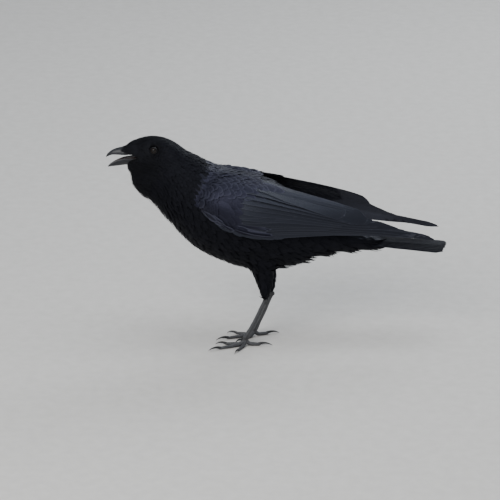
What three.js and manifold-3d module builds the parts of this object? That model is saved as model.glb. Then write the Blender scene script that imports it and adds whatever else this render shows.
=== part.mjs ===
// A life-size standing crow, bill open and wings held a little off the back.
// Millimetres, +Z up. The bird faces -Y, its left side is +X, and z = 0 is the ground.
import * as THREE from "three";
import { mergeVertices } from "three/addons/utils/BufferGeometryUtils.js";
import Module from "manifold-3d";

const wasm = await Module();
wasm.setup();

// ---------------------------------------------------------------- driving dimensions

const GAP = 0.35; // clearance between neighbouring pieces
const SIDES = { left: 1, right: -1 };

// The feathered body from the throat to the end of the undertail coverts. Each station is a
// centre (y, z) in the middle plane and half sizes measured square to the centre line.
const BODY = {
  gullet: { y: -147, z: 255, width: 5, up: 3, down: 19.5 },
  throat: { y: -133, z: 240, width: 22.5, up: 33, down: 36.5 },
  neck: { y: -107, z: 229, width: 32, up: 43.5, down: 43.5 },
  collar: { y: -77, z: 207, width: 42, up: 49.5, down: 52 },
  breast: { y: -42, z: 185, width: 48, up: 58.5, down: 63 },
  belly: { y: 2, z: 171, width: 49.5, up: 61.5, down: 67.5 },
  flank: { y: 45, z: 160.5, width: 45.5, up: 48.5, down: 58 },
  vent: { y: 80, z: 155, width: 37, up: 36, down: 39 },
  rump: { y: 110, z: 149, width: 28, up: 24, down: 22.5 },
  coverts: { y: 147, z: 143, width: 21, up: 11, down: 12.5 },
  covert_tip: { y: 187, z: 138.5, width: 12, up: 3.5, down: 6 },
};
const BODY_ROWS = 26;
const BODY_AROUND = 20;

// The head from the bill's root to the nape, in the same form.
const HEAD = {
  bill_root: { y: -170.5, z: 261.5, width: 7, up: 8.5, down: 15 },
  face: { y: -162, z: 262, width: 12.5, up: 15.5, down: 28 },
  cheek: { y: -147, z: 263, width: 19.5, up: 22, down: 35 },
  crown: { y: -129, z: 262, width: 22.5, up: 26, down: 38 },
  hindneck: { y: -112, z: 253, width: 25, up: 27, down: 34 },
  nape: { y: -96, z: 240, width: 26, up: 24, down: 28 },
};
const HEAD_ROWS = 13;
const HEAD_AROUND = 16;

// The two halves of the bill. up is the culmen above the line of the cutting edges, down the
// depth below it. The tip of the upper half hooks down over the open gap.
const UPPER_BILL = {
  tip: { y: -194.3, z: 258.6, width: 0.7, up: 0.8, down: 0.5 },
  hook: { y: -191.4, z: 261.2, width: 1.9, up: 2.6, down: 1.2 },
  nail: { y: -185.5, z: 263.6, width: 3.6, up: 4.9, down: 1.2 },
  ridge: { y: -178, z: 264, width: 5.3, up: 7.4, down: 1.2 },
  nostril: { y: -168, z: 264, width: 7.4, up: 9.6, down: 1.2 },
  root: { y: -157, z: 265.8, width: 9.3, up: 10.5, down: 1.2 },
  end: { y: -147, z: 265.5, width: 10.2, up: 8.5, down: 1.2 },
};
const LOWER_BILL = {
  tip: { y: -191.9, z: 245.4, width: 0.8, up: 0.5, down: 0.7 },
  blade: { y: -186.5, z: 249.4, width: 2.7, up: 0.9, down: 3.9 },
  gonys: { y: -179, z: 253.2, width: 4.6, up: 1, down: 6.9 },
  jaw: { y: -169.5, z: 256.2, width: 6.6, up: 1, down: 8.6 },
  root: { y: -157, z: 257.3, width: 8.7, up: 1, down: 8.4 },
  end: { y: -147, z: 258.3, width: 9.6, up: 1, down: 7.6 },
};
const BILL_ROWS = 10;
const BILL_AROUND = 12;
// The corner of the mouth, and how steeply the open mouth widens above and below its level.
const GAPE = { y: -146.5, z: 261, reach: 40, above: 0.22, below: 0.19 };
const TONGUE = {
  tip: { y: -178, z: 252.6, width: 0.8, up: 0.5, down: 0.5 },
  blade: { y: -168, z: 255.6, width: 2.9, up: 0.8, down: 0.9 },
  root: { y: -158, z: 257.4, width: 3.8, up: 1.1, down: 1.1 },
  end: { y: -152, z: 258.2, width: 3.4, up: 0.9, down: 0.9 },
};
// The hollow of the lower half of the bill: its wall, how far its middle line is raised, its half
// height above that, and how deep it is where the bill is depth or more deep.
const TROUGH = { wall: 1.3, raised: 1.6, up: 4, deepest: 3.2, depth: 8 };

const EYE = { x: 16.6, y: -129.6, z: 272.6, radius: 5.9 };

// The folded wing's outer surface, as rails [x, y, z] from the bend of the wing to its tip: along
// its lower edge, its side, its shoulder and its upper edge, which starts over the shoulder blade.
const WING_RAILS = {
  lower: [
    [40.5, -76, 205], [50, -59, 190.5], [57, -34, 173.7], [58, 6, 161.5],
    [53.5, 52, 161.5], [46, 102, 160.8], [38.5, 150, 159], [31, 200, 156.2], [24.7, 244, 153.8],
  ],
  side: [
    [40.5, -76.5, 208], [50.5, -60, 208], [57, -34, 203], [57.5, 6, 194],
    [53.5, 52, 187.5], [47.5, 102, 179.5], [41, 150, 170], [32.5, 200, 161], [24.8, 244, 155.9],
  ],
  shoulder: [
    [39, -76.5, 211], [42, -60.5, 223.5], [43.5, -34, 227.5], [45, 6, 220.5],
    [45, 52, 209.5], [43.5, 102, 196], [39.5, 150, 182.5], [30.5, 200, 167], [24.6, 244, 156.6],
  ],
  upper: [
    [36, -76, 214], [27, -61, 237], [17.5, -34, 243], [16, 6, 236],
    [28.5, 52, 221.5], [34, 102, 207.5], [36, 150, 191.5], [27, 200, 171.5], [24.2, 244, 157.5],
  ],
};
// Each part of the wing runs over a stretch of the rails, from start to end (0 at the bend of the
// wing, 1 at its tip) and from low to high (0 at the lower edge, 1 at the upper). sweep is how much
// shorter its lower corner is than its upper one, and round rounds the free end off. thick is
// its thickness at the front and at the free end, inset how deep its outer face lies at its front.
const WING_PARTS = {
  arm: { start: 0, end: 0.49, low: 0, high: 1, thick: [9, 4], inset: 0, sweep: -0.05, round: 0.04 },
  secondaries: {
    start: 0.42, end: 0.762, low: 0.24, high: 1,
    thick: [3, 1.2], inset: 1.7, sweep: 0.12, round: 0.02,
  },
  primaries: {
    start: 0.45, end: 1, low: 0, high: 0.84,
    thick: [2.6, 1.2], inset: 4.4, sweep: 0, round: 0.012,
  },
};
const WING_ROWS = 12;
const WING_COLUMNS = 5;

const TAIL = {
  root: 128, // y of the quills' roots, inside the coverts
  tip: 261.5, // y of the longest feather's end
  rootZ: 146.5,
  tipZ: 138.2,
  rootHalfWidth: 15,
  tipHalfWidth: 27.5,
  rounding: 10, // how much shorter the outermost feather is
  arch: 3.2, // how far the edges lie below the middle
  rootThick: 5,
  tipThick: 1.8,
};

// One leg, in the bird's own left-hand sense: x is out from the middle. Each toe's direction is in
// degrees out from straight ahead.
const LEGS = {
  left: {
    thighTop: [21, 0, 142],
    knee: [26, 16, 98],
    ankle: [23, 18.5, 64.5],
    foot: [21.5, -8.7, 10],
    toes: { middle: 25, inner: -6, outer: 68, hind: 180 },
  },
  right: {
    thighTop: [21, 6, 142],
    knee: [24, 22, 96],
    ankle: [16, 26.5, 61.5],
    foot: [17, 3.2, 9.5],
    toes: { middle: -20, inner: -50, outer: 18, hind: 160 },
  },
};
const SHANK = { top: 23, knee: 12.8, ankle: 6.5 }; // half thickness of the feathered shank
const TARSUS = { depth: 3.4, width: 2.8 }; // half sizes at mid length
const TOES = {
  middle: { length: 41, claw: 14, thick: 3.2 },
  inner: { length: 29, claw: 12, thick: 3 },
  outer: { length: 28, claw: 11, thick: 2.9 },
  hind: { length: 21, claw: 15, thick: 3.3 },
};
const TOE_ROWS = 9;
const TOE_AROUND = 8;
const CLAW_ROWS = 4;
const CLAW_AROUND = 6;

const COLOURS = {
  plumage: new THREE.MeshStandardMaterial({ color: 0x15161b, roughness: 0.62, metalness: 0 }),
  flight: new THREE.MeshStandardMaterial({ color: 0x17181f, roughness: 0.45, metalness: 0 }),
  horn: new THREE.MeshStandardMaterial({ color: 0x1d1f24, roughness: 0.35, metalness: 0 }),
  scutes: new THREE.MeshStandardMaterial({ color: 0x2c2f35, roughness: 0.55, metalness: 0 }),
  mouth: new THREE.MeshStandardMaterial({ color: 0x3a2a2c, roughness: 0.5, metalness: 0 }),
  eye: new THREE.MeshStandardMaterial({ color: 0x0f0b08, roughness: 0.08, metalness: 0 }),
};

// ---------------------------------------------------------------- solids

// A three.js geometry as a closed manifold solid that faces out.
function solidOf(geometry) {
  const bare = geometry.clone();
  bare.deleteAttribute("normal");
  bare.deleteAttribute("uv");
  const merged = mergeVertices(bare, 1e-4);
  const make = (triVerts) =>
    new wasm.Manifold(
      new wasm.Mesh({ numProp: 3, vertProperties: merged.attributes.position.array, triVerts }),
    );
  const triangles = new Uint32Array(merged.index.array);
  const made = make(triangles);
  return made.volume() > 0 ? made : make(triangles.reverse());
}

function geometryOf(solid) {
  const mesh = solid.getMesh();
  const geometry = new THREE.BufferGeometry();
  geometry.setAttribute("position", new THREE.BufferAttribute(mesh.vertProperties, 3));
  geometry.setIndex(new THREE.BufferAttribute(mesh.triVerts, 1));
  geometry.computeVertexNormals();
  return geometry;
}

// The one body that matters of a cut solid: small chips left by a cut are dropped.
function largest(solid) {
  return solid.decompose().reduce((best, piece) => (piece.volume() > best.volume() ? piece : best));
}

function without(solid, ...tools) {
  return largest(tools.reduce((rest, tool) => rest.subtract(tool), solid));
}

// A ball's skin pulled over a shape: place(t, angle) gives the point at t along it, 0 to 1.
function pulledBall(rows, around, place) {
  const geometry = new THREE.SphereGeometry(1, around, rows);
  const position = geometry.attributes.position;
  for (let i = 0; i < position.count; i++) {
    const row = Math.floor(i / (around + 1));
    const step = (i % (around + 1)) % around;
    const point = place(row / rows, (2 * Math.PI * (step + 0.5)) / around);
    position.setXYZ(i, point.x, point.y, point.z);
  }
  return solidOf(geometry);
}

// Stations { y, z, width, up, down } in the middle plane become smooth functions of t.
function stationCurves(stations) {
  const list = Object.values(stations);
  const line = new THREE.CatmullRomCurve3(list.map((s) => new THREE.Vector3(0, s.y, s.z)));
  const sizes = new THREE.CatmullRomCurve3(
    list.map((s) => new THREE.Vector3(s.width, s.up, s.down)),
  );
  return { line, sizes };
}

// A body with egg-shaped sections along the middle plane. square above 2 makes its sides fuller,
// and grow makes it larger all round.
function loft(stations, { rows, around, square = 2.15, grow = 0 }) {
  const { line, sizes } = stationCurves(stations);
  return pulledBall(rows, around, (t, angle) => {
    const centre = line.getPoint(t);
    const ahead = line.getTangent(t);
    if (t === 0 || t === 1) return centre.addScaledVector(ahead, t ? grow : -grow);
    const upward = new THREE.Vector3(0, -ahead.z, ahead.y);
    const size = sizes.getPoint(t);
    const tall = (Math.sin(angle) > 0 ? size.y : size.z) + grow;
    const wide = size.x + grow;
    const rounded = (v) => Math.sign(v) * Math.pow(Math.abs(v), 2 / square);
    centre.x += rounded(Math.cos(angle)) * wide;
    return centre.addScaledVector(upward, rounded(Math.sin(angle)) * tall);
  });
}

// A tube of changing thickness along a curve. thickness(t) gives its half sizes
// { side, over, under }; no point is left under the ground.
function limb(curve, thickness, { rows, around, grow = 0, floor = -Infinity }) {
  const ends = { 0: -grow, 1: grow };
  return pulledBall(rows, around, (t, angle) => {
    const centre = curve.getPoint(t);
    const ahead = curve.getTangent(t).normalize();
    if (t in ends) centre.addScaledVector(ahead, ends[t]);
    else {
      const size = thickness(t);
      const across = new THREE.Vector3(-ahead.y, ahead.x, 0);
      if (across.length() < 0.05) across.set(1, 0, 0);
      across.normalize();
      const over = across.clone().cross(ahead).negate().normalize();
      const tall = (Math.sin(angle) > 0 ? size.over : size.under) + grow;
      centre.addScaledVector(across, Math.cos(angle) * (size.side + grow));
      centre.addScaledVector(over, Math.sin(angle) * tall);
    }
    centre.z = Math.max(centre.z, floor);
    return centre;
  });
}

// A curved plate: a box whose two large faces lie on either side of surface(along, across).
function plate(rows, columns, surface, thickness) {
  const geometry = new THREE.BoxGeometry(1, 1, 1, rows, columns, 1);
  const position = geometry.attributes.position;
  const nudge = 1e-3;
  for (let i = 0; i < position.count; i++) {
    const along = position.getX(i) + 0.5;
    const across = position.getY(i) + 0.5;
    const point = surface(along, across);
    const [near, far] = [Math.max(0, along - nudge), Math.min(1, along + nudge)];
    const down = surface(far, across).sub(surface(near, across));
    const [low, high] = [Math.max(0, across - nudge), Math.min(1, across + nudge)];
    const over = surface(along, high).sub(surface(along, low));
    const normal = down.cross(over).normalize();
    const { out, into } = thickness(along, across);
    point.addScaledVector(normal, position.getZ(i) > 0 ? out : -into);
    position.setXYZ(i, point.x, point.y, point.z);
  }
  return solidOf(geometry);
}

// Everything on one side of a plane that faces along (0, y, z).
function halfSpace(y, z, ahead, offset) {
  const size = 1200;
  const box = new THREE.BoxGeometry(size, size, size);
  const normal = new THREE.Vector3(0, ahead[0], ahead[1]).normalize();
  box.applyQuaternion(new THREE.Quaternion().setFromUnitVectors(new THREE.Vector3(0, 1, 0), normal));
  const centre = new THREE.Vector3(0, y, z).addScaledVector(normal, offset + size / 2);
  box.translate(centre.x, centre.y, centre.z);
  return solidOf(box);
}

// ---------------------------------------------------------------- body, head and mouth

const bodyLoft = (grow = 0) => loft(BODY, { rows: BODY_ROWS, around: BODY_AROUND, grow });
const headLoft = (grow = 0) => loft(HEAD, { rows: HEAD_ROWS, around: HEAD_AROUND, grow });
const billSize = { rows: BILL_ROWS, around: BILL_AROUND, square: 1.7 };
const upperBill = (grow = 0) => loft(UPPER_BILL, { ...billSize, grow });
const lowerBillLoft = (grow = 0) => loft(LOWER_BILL, { ...billSize, grow });

// The lower half of the bill is a trough: it loses a narrower copy of itself, raised.
function lowerBill() {
  const { wall, raised, up, deepest, depth } = TROUGH;
  const hollow = {};
  for (const [name, station] of Object.entries(LOWER_BILL)) {
    const width = Math.max(0.1, station.width - wall);
    const down = raised + deepest * Math.min(1, station.down / depth);
    hollow[name] = { y: station.y, z: station.z + raised, width, up, down };
  }
  return without(lowerBillLoft(), loft(hollow, { ...billSize, square: 2 }));
}

// The open mouth: a wedge from the corner of the gape to in front of the bill.
function mouthWedge() {
  const shape = new THREE.Shape();
  shape.moveTo(-GAPE.y, GAPE.z + 0.7);
  shape.lineTo(-GAPE.y + GAPE.reach, GAPE.z + GAPE.reach * GAPE.above);
  shape.lineTo(-GAPE.y + GAPE.reach, GAPE.z - GAPE.reach * GAPE.below);
  shape.lineTo(-GAPE.y, GAPE.z - 0.7);
  const width = 60;
  const wedge = new THREE.ExtrudeGeometry(shape, { depth: width, bevelEnabled: false });
  wedge.translate(0, 0, -width / 2);
  wedge.applyMatrix4(
    new THREE.Matrix4().makeBasis(
      new THREE.Vector3(0, -1, 0),
      new THREE.Vector3(0, 0, 1),
      new THREE.Vector3(-1, 0, 0),
    ),
  );
  return solidOf(wedge);
}

function eyeball(side, grow = 0) {
  const ball = new THREE.SphereGeometry(EYE.radius + grow, 12, 8);
  ball.translate(side * EYE.x, EYE.y, EYE.z);
  return solidOf(ball);
}

const feathered = bodyLoft().add(headLoft());
const featheredGrown = bodyLoft(GAP).add(headLoft(GAP));
const carved = without(
  feathered,
  upperBill(GAP),
  lowerBillLoft(GAP),
  mouthWedge(),
  eyeball(SIDES.left, GAP),
  eyeball(SIDES.right, GAP),
);

// The feathered body is parted by thin cuts square to its centre line.
const CUTS = [
  { y: -117, z: 238, ahead: [0.8, -0.6] },
  { y: -77, z: 207, ahead: [0.82, -0.57] },
  { y: 84, z: 155, ahead: [1, -0.14] },
];
const behind = (cut) => halfSpace(cut.y, cut.z, cut.ahead, GAP / 2);
const infront = (cut) => halfSpace(cut.y, cut.z, cut.ahead.map((v) => -v), GAP / 2);
const bodyParts = {
  head: largest(carved.intersect(infront(CUTS[0]))),
  neck: largest(carved.intersect(behind(CUTS[0])).intersect(infront(CUTS[1]))),
  trunk: largest(carved.intersect(behind(CUTS[1])).intersect(infront(CUTS[2]))),
  rump: largest(carved.intersect(behind(CUTS[2]))),
};

// ---------------------------------------------------------------- wings

const railCurve = (points, side) =>
  new THREE.CatmullRomCurve3(points.map(([x, y, z]) => new THREE.Vector3(side * x, y, z)));

function wingSurface(side) {
  const rails = Object.values(WING_RAILS).map((points) => railCurve(points, side));
  // Past either end of a curve its point goes straight on.
  const along1 = (curve, t) => {
    const end = THREE.MathUtils.clamp(t, 0, 1);
    const point = curve.getPoint(end);
    if (t === end) return point;
    const inward = end === 0 ? 0.01 : 0.99;
    return point.lerp(curve.getPoint(inward), (t - end) / (inward - end));
  };
  return (along, across) => {
    const chord = new THREE.CatmullRomCurve3(rails.map((rail) => along1(rail, along)));
    return along1(chord, across);
  };
}

function wingPart(name, side, grow = 0) {
  const part = WING_PARTS[name];
  const surface = wingSurface(side);
  const margin = grow * 0.012;
  const span = part.end - part.start;
  const mapped = (along, across) => {
    const lift = part.sweep * (across - 1);
    const curl = part.round * Math.pow(Math.abs(2 * across - 1), 2.5);
    const end = part.end + lift - curl + margin;
    const t = part.start - margin + along * (end - part.start + margin);
    const chord = part.low - margin + across * (part.high - part.low + 2 * margin);
    return surface(t, chord);
  };
  const thickness = (along, across) => {
    const back = Math.min(1, along * span * 2.4);
    const front = Math.min(1, 0.25 + along * span * 12);
    const whole = front * THREE.MathUtils.lerp(part.thick[0], part.thick[1], back);
    const edge = Math.pow(Math.max(0, 1 - Math.pow(Math.abs(2 * across - 1), 3)), 0.5);
    const tapered = Math.max(0.9, whole * (0.35 + 0.65 * edge));
    const depth = part.inset * (1 - Math.pow(THREE.MathUtils.clamp(along, 0, 1), 3));
    const [toOut, toIn] = [-depth, depth + tapered];
    return side > 0
      ? { out: toOut + grow, into: toIn + grow }
      : { out: toIn + grow, into: toOut + grow };
  };
  return plate(WING_ROWS, WING_COLUMNS, mapped, thickness);
}

function wing(side) {
  const arm = without(wingPart("arm", side), featheredGrown);
  const armGrown = wingPart("arm", side, GAP);
  const upperRow = wingPart("secondaries", side);
  const secondaries = without(upperRow, featheredGrown, armGrown, arm);
  const rowGrown = wingPart("secondaries", side, GAP);
  const lowerRow = wingPart("primaries", side);
  const primaries = without(lowerRow, featheredGrown, armGrown, rowGrown, arm, secondaries);
  return { arm, secondaries, primaries };
}

// ---------------------------------------------------------------- tail

function tail(grow = 0) {
  const surface = (along, across) => {
    const from = 2 * across - 1;
    const halfWidth = THREE.MathUtils.lerp(TAIL.rootHalfWidth, TAIL.tipHalfWidth, Math.pow(along, 0.8));
    const end = TAIL.tip - TAIL.rounding * Math.pow(Math.abs(from), 2.2);
    return new THREE.Vector3(
      from * (halfWidth + grow),
      THREE.MathUtils.lerp(TAIL.root, end + grow, along),
      THREE.MathUtils.lerp(TAIL.rootZ, TAIL.tipZ, along) - TAIL.arch * from * from * (0.4 + 0.6 * along),
    );
  };
  const thickness = (along) => {
    const half = THREE.MathUtils.lerp(TAIL.rootThick, TAIL.tipThick, along) / 2 + grow;
    return { out: half, into: half };
  };
  return plate(9, 10, surface, thickness);
}

// ---------------------------------------------------------------- legs

const out3 = ([x, y, z], side) => new THREE.Vector3(side * x, y, z);

function shank(leg, side) {
  const curve = new THREE.CatmullRomCurve3([
    out3(leg.thighTop, side),
    out3(leg.knee, side),
    out3(leg.ankle, side).add(new THREE.Vector3(0, -1, 2)),
  ]);
  const bulk = new THREE.CatmullRomCurve3([
    new THREE.Vector3(SHANK.top, 0, 0),
    new THREE.Vector3(SHANK.knee, 0, 0),
    new THREE.Vector3(SHANK.ankle, 0, 0),
  ]);
  const thickness = (t) => {
    const size = bulk.getPoint(t).x * Math.sqrt(1 - Math.pow(t, 9));
    return { side: size * 0.8, over: size, under: size };
  };
  return limb(curve, thickness, { rows: 10, around: 12 });
}

function tarsus(leg, side, grow = 0) {
  const [ankle, foot] = [out3(leg.ankle, side), out3(leg.foot, side)];
  const along = foot.clone().sub(ankle);
  const curve = new THREE.CatmullRomCurve3([
    ankle.clone().addScaledVector(along, -0.07),
    ankle.clone().addScaledVector(along, 0.5).add(new THREE.Vector3(0, 0.8, 0)),
    foot.clone().addScaledVector(along, 0.03),
  ]);
  const knob = (t, at, size) => 1 + size * Math.exp(-Math.pow((t - at) / 0.09, 2));
  const thickness = (t) => {
    const swell = knob(t, 0.1, 0.3) * knob(t, 0.92, 0.3);
    return { side: TARSUS.width * swell, over: TARSUS.depth * swell, under: TARSUS.depth * swell };
  };
  return limb(curve, thickness, { rows: 10, around: 10, grow });
}

// A toe's centre line: down from the foot joint, then flat along the ground.
function toeLine(leg, side, name) {
  const { length, thick } = TOES[name];
  const turn = THREE.MathUtils.degToRad(leg.toes[name]);
  const ahead = new THREE.Vector3(side * Math.sin(turn), -Math.cos(turn), 0);
  const foot = out3(leg.foot, side);
  const at = (distance, height) =>
    new THREE.Vector3(foot.x, foot.y, 0).addScaledVector(ahead, distance).setZ(height);
  const end = at(length, thick * 0.45);
  const curve = new THREE.CatmullRomCurve3([
    at(0.5, foot.z - 3),
    at(0.26 * length, thick * 0.8),
    at(0.6 * length, thick * 0.55),
    end,
  ]);
  return { curve, ahead, end };
}

function toe(leg, side, name, grow = 0) {
  const { thick } = TOES[name];
  const thickness = (t) => {
    const pads = 1 + 0.1 * Math.cos(t * Math.PI * 6);
    const size = thick * pads * (1 - 0.28 * t) * Math.sqrt(1 - Math.pow(t, 8));
    return { side: size * 0.95, over: size * 0.88, under: size };
  };
  const { curve } = toeLine(leg, side, name);
  return limb(curve, thickness, { rows: TOE_ROWS, around: TOE_AROUND, grow, floor: -grow });
}

// A claw: thickest at its root, bent down to the ground at its point.
function claw(leg, side, name) {
  const { claw: reach, thick } = TOES[name];
  const { ahead, end } = toeLine(leg, side, name);
  const at = (distance, height) => end.clone().addScaledVector(ahead, distance * reach).setZ(height);
  const curve = new THREE.QuadraticBezierCurve3(
    at(-0.1, thick * 0.75),
    at(0.5, thick * 1.85),
    at(1, 0.5),
  );
  const thickness = (t) => {
    const size = thick * 0.56 * (1 - 0.86 * t);
    return { side: size * 0.8, over: size, under: size };
  };
  return limb(curve, thickness, { rows: CLAW_ROWS, around: CLAW_AROUND, floor: 0.3 });
}

function legParts(sideName) {
  const side = SIDES[sideName];
  const leg = LEGS[sideName];
  const grownTarsus = tarsus(leg, side, GAP);
  const parts = {
    thigh: without(shank(leg, side), featheredGrown, grownTarsus),
    tarsus: tarsus(leg, side),
  };
  const blockers = [grownTarsus];
  for (const name of Object.keys(TOES)) {
    parts["toe_" + name] = without(toe(leg, side, name), ...blockers);
    const grownToe = toe(leg, side, name, GAP);
    blockers.push(grownToe);
    parts["claw_" + name] = without(claw(leg, side, name), grownToe);
  }
  return parts;
}

// ---------------------------------------------------------------- assembly

const bird = new THREE.Group();

function place(name, solid, material) {
  const mesh = new THREE.Mesh(geometryOf(solid), material);
  mesh.name = name;
  bird.add(mesh);
}

for (const [name, solid] of Object.entries(bodyParts)) place(name, solid, COLOURS.plumage);
place("bill_upper", upperBill(), COLOURS.horn);
place("bill_lower", lowerBill(), COLOURS.horn);
place("tongue", loft(TONGUE, { rows: 6, around: 8 }), COLOURS.mouth);
place("tail", without(tail(), featheredGrown), COLOURS.flight);

for (const [sideName, side] of Object.entries(SIDES)) {
  place("eye_" + sideName, eyeball(side), COLOURS.eye);
  const { arm, secondaries, primaries } = wing(side);
  place("wing_arm_" + sideName, arm, COLOURS.plumage);
  place("wing_secondaries_" + sideName, secondaries, COLOURS.flight);
  place("wing_primaries_" + sideName, without(primaries, tail(GAP)), COLOURS.flight);
  for (const [name, solid] of Object.entries(legParts(sideName))) {
    const kind = name.split("_")[0];
    const material = { thigh: COLOURS.plumage, claw: COLOURS.horn }[kind] ?? COLOURS.scutes;
    place(name + "_" + sideName, solid, material);
  }
}

// The origin is on the ground under the middle of the bird's bounding box.
const bounds = new THREE.Box3().setFromObject(bird);
const middle = bounds.getCenter(new THREE.Vector3());
bird.position.set(-middle.x, -middle.y, -bounds.min.z);

const crow = new THREE.Group();
crow.add(bird);

export default crow;
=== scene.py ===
"""A life-size crow: one skin, feathered all over, with bill, eyes, scaled legs and claws.

Shapes are worked out in the bird's own millimetres: -Y is ahead, +X the bird's left, +Z up.
"""

import math

import bpy
import numpy as np
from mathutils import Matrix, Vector
from mathutils.bvhtree import BVHTree
from mathutils.kdtree import KDTree


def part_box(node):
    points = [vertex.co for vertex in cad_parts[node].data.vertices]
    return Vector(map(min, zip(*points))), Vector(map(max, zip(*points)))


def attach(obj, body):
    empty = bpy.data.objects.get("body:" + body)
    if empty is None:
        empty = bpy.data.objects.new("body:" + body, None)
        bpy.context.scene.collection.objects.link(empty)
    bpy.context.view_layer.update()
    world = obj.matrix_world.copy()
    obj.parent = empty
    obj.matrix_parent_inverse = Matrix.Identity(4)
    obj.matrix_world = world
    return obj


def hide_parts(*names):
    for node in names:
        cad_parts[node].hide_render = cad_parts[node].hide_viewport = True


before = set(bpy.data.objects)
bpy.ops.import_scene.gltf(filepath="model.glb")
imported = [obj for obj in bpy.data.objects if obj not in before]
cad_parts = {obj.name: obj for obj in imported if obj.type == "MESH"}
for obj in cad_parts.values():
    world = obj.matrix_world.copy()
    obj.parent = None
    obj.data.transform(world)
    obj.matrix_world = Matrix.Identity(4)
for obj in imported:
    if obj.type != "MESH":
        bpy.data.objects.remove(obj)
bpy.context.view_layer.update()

# ------------------------------------------------------------------ driving dimensions

SEED = 20
EYE = {"x": 16.6, "y": -129.6, "z": 272.6, "radius": 5.9}
SIDES = {"left": 1, "right": -1}

# The line that the plumage flows along, from the bill to the tail: (y, z) in the middle plane.
SPINE = [
    (-170, 262), (-147, 262), (-129, 260), (-110, 248), (-91, 228), (-64, 203), (-32, 184),
    (2, 172), (45, 161), (80, 155), (110, 149), (147, 143), (190, 138),
]

# The body's plumage by distance along that line, over the back and under the belly: how far apart
# feathers grow, their length and width, the depth of the coat and how far their tips stand off.
PLUMAGE = {
    "face": (0, (1.05, 4.6, 1.05, 0.9, 0.0), (1.15, 5.5, 1.1, 1.0, 0.2)),
    "crown": (26, (1.3, 7.0, 1.5, 1.4, 0.0), (1.7, 12.0, 1.7, 2.0, 0.4)),
    "hindneck": (55, (1.9, 12.0, 2.4, 2.2, 0.0), (2.4, 19.0, 2.3, 3.0, 1.0)),
    "collar": (88, (3.3, 19.0, 4.8, 3.2, 0.1), (3.5, 22.0, 3.9, 4.0, 0.5)),
    "breast": (130, (5.2, 27.0, 9.0, 4.0, 0.1), (4.8, 25.0, 7.6, 4.6, 0.15)),
    "belly": (200, (8.0, 31.0, 17.0, 4.5, 0.1), (5.6, 29.0, 9.4, 5.0, 0.2)),
    "vent": (262, (8.5, 33.0, 17.0, 4.2, 0.1), (5.4, 32.0, 7.0, 4.6, 2.4)),
    "rump": (310, (8.5, 34.0, 15.0, 3.4, 0.0), (7.2, 34.0, 12.0, 3.2, 1.0)),
    "tail_coverts": (395, (9.0, 36.0, 13.0, 1.6, 0.0), (9.0, 36.0, 12.0, 1.6, 0.4)),
}
# The same five numbers on the thighs.
THIGH_PLUMAGE = (2.3, 17.0, 4.0, 2.4, 1.4)
THICKEST = 40  # the skin counts a body part as no thicker than this
SKIN_UNDER_WING = 4.4  # how deep the skin lies under the folded wing's surface
BRISTLES = {
    "spacing": 0.85, "length": 11.0, "width": 0.95, "behind": -149.5, "foremost": -167.5, "ahead": -175.5,
}
# Where the coats of head and neck end along the spine, over the back and under the belly.
COAT_ENDS = {"head": 44, "neck_over": 88, "neck_under": 104}
# A feather is left out where the folded wing lies within reach over it and over each step from it.
UNDER_WING = {
    "reach": 30,
    "steps": [(0, 0, 0), (0, 16, 0), (0, -16, 0), (0, 0, 14), (0, 0, -14), (0, 34, 0), (0, 10, 28)],
}

# The folded wing's outer surface, as rails from the bend of the wing to its tip.
WING_RAILS = {
    "lower": [
        (40.5, -76, 205), (50, -59, 190.5), (57, -34, 173.7), (58, 6, 161.5),
        (53.5, 52, 161.5), (46, 102, 160.8), (38.5, 150, 159), (31, 200, 156.2), (24.7, 244, 153.8),
    ],
    "side": [
        (40.5, -76.5, 208), (50.5, -60, 208), (57, -34, 203), (57.5, 6, 194),
        (53.5, 52, 187.5), (47.5, 102, 179.5), (41, 150, 170), (32.5, 200, 161), (24.8, 244, 155.9),
    ],
    "shoulder": [
        (39, -76.5, 211), (42, -60.5, 223.5), (43.5, -34, 227.5), (45, 6, 220.5),
        (45, 52, 209.5), (43.5, 102, 196), (39.5, 150, 182.5), (30.5, 200, 167), (24.6, 244, 156.6),
    ],
    "upper": [
        (36, -76, 214), (27, -61, 237), (17.5, -34, 243), (16, 6, 236),
        (28.5, 52, 221.5), (34, 102, 207.5), (36, 150, 191.5), (27, 200, 171.5), (24.2, 244, 157.5),
    ],
}

# Where the tips of the flight feathers lie along the wing, from the outermost one inwards.
PRIMARY_TIPS = [0.80, 0.935, 0.99, 1.004, 0.972, 0.92, 0.87, 0.83, 0.79, 0.765]
SECONDARY_TIPS = [0.655, 0.675, 0.695, 0.712, 0.728, 0.742, 0.755, 0.757, 0.69]
# How the two wings differ: how much farther back primaries and tertials reach, and how many
# millimetres the long tips hang and the inner primaries stand higher.
WING_ENDS = {
    "left": {"primaries": -0.002, "tertials": 0.0, "hang": 4.4, "raised": 6.5},
    "right": {"primaries": 0.019, "tertials": 0.024, "hang": 0.8, "raised": 0.0},
}
TAIL = {
    "root": 122, "tip": 261, "root_z": 147.6, "tip_z": 138.6, "spread": 19.5, "step": 0.42, "half": 10.6,
}

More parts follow.
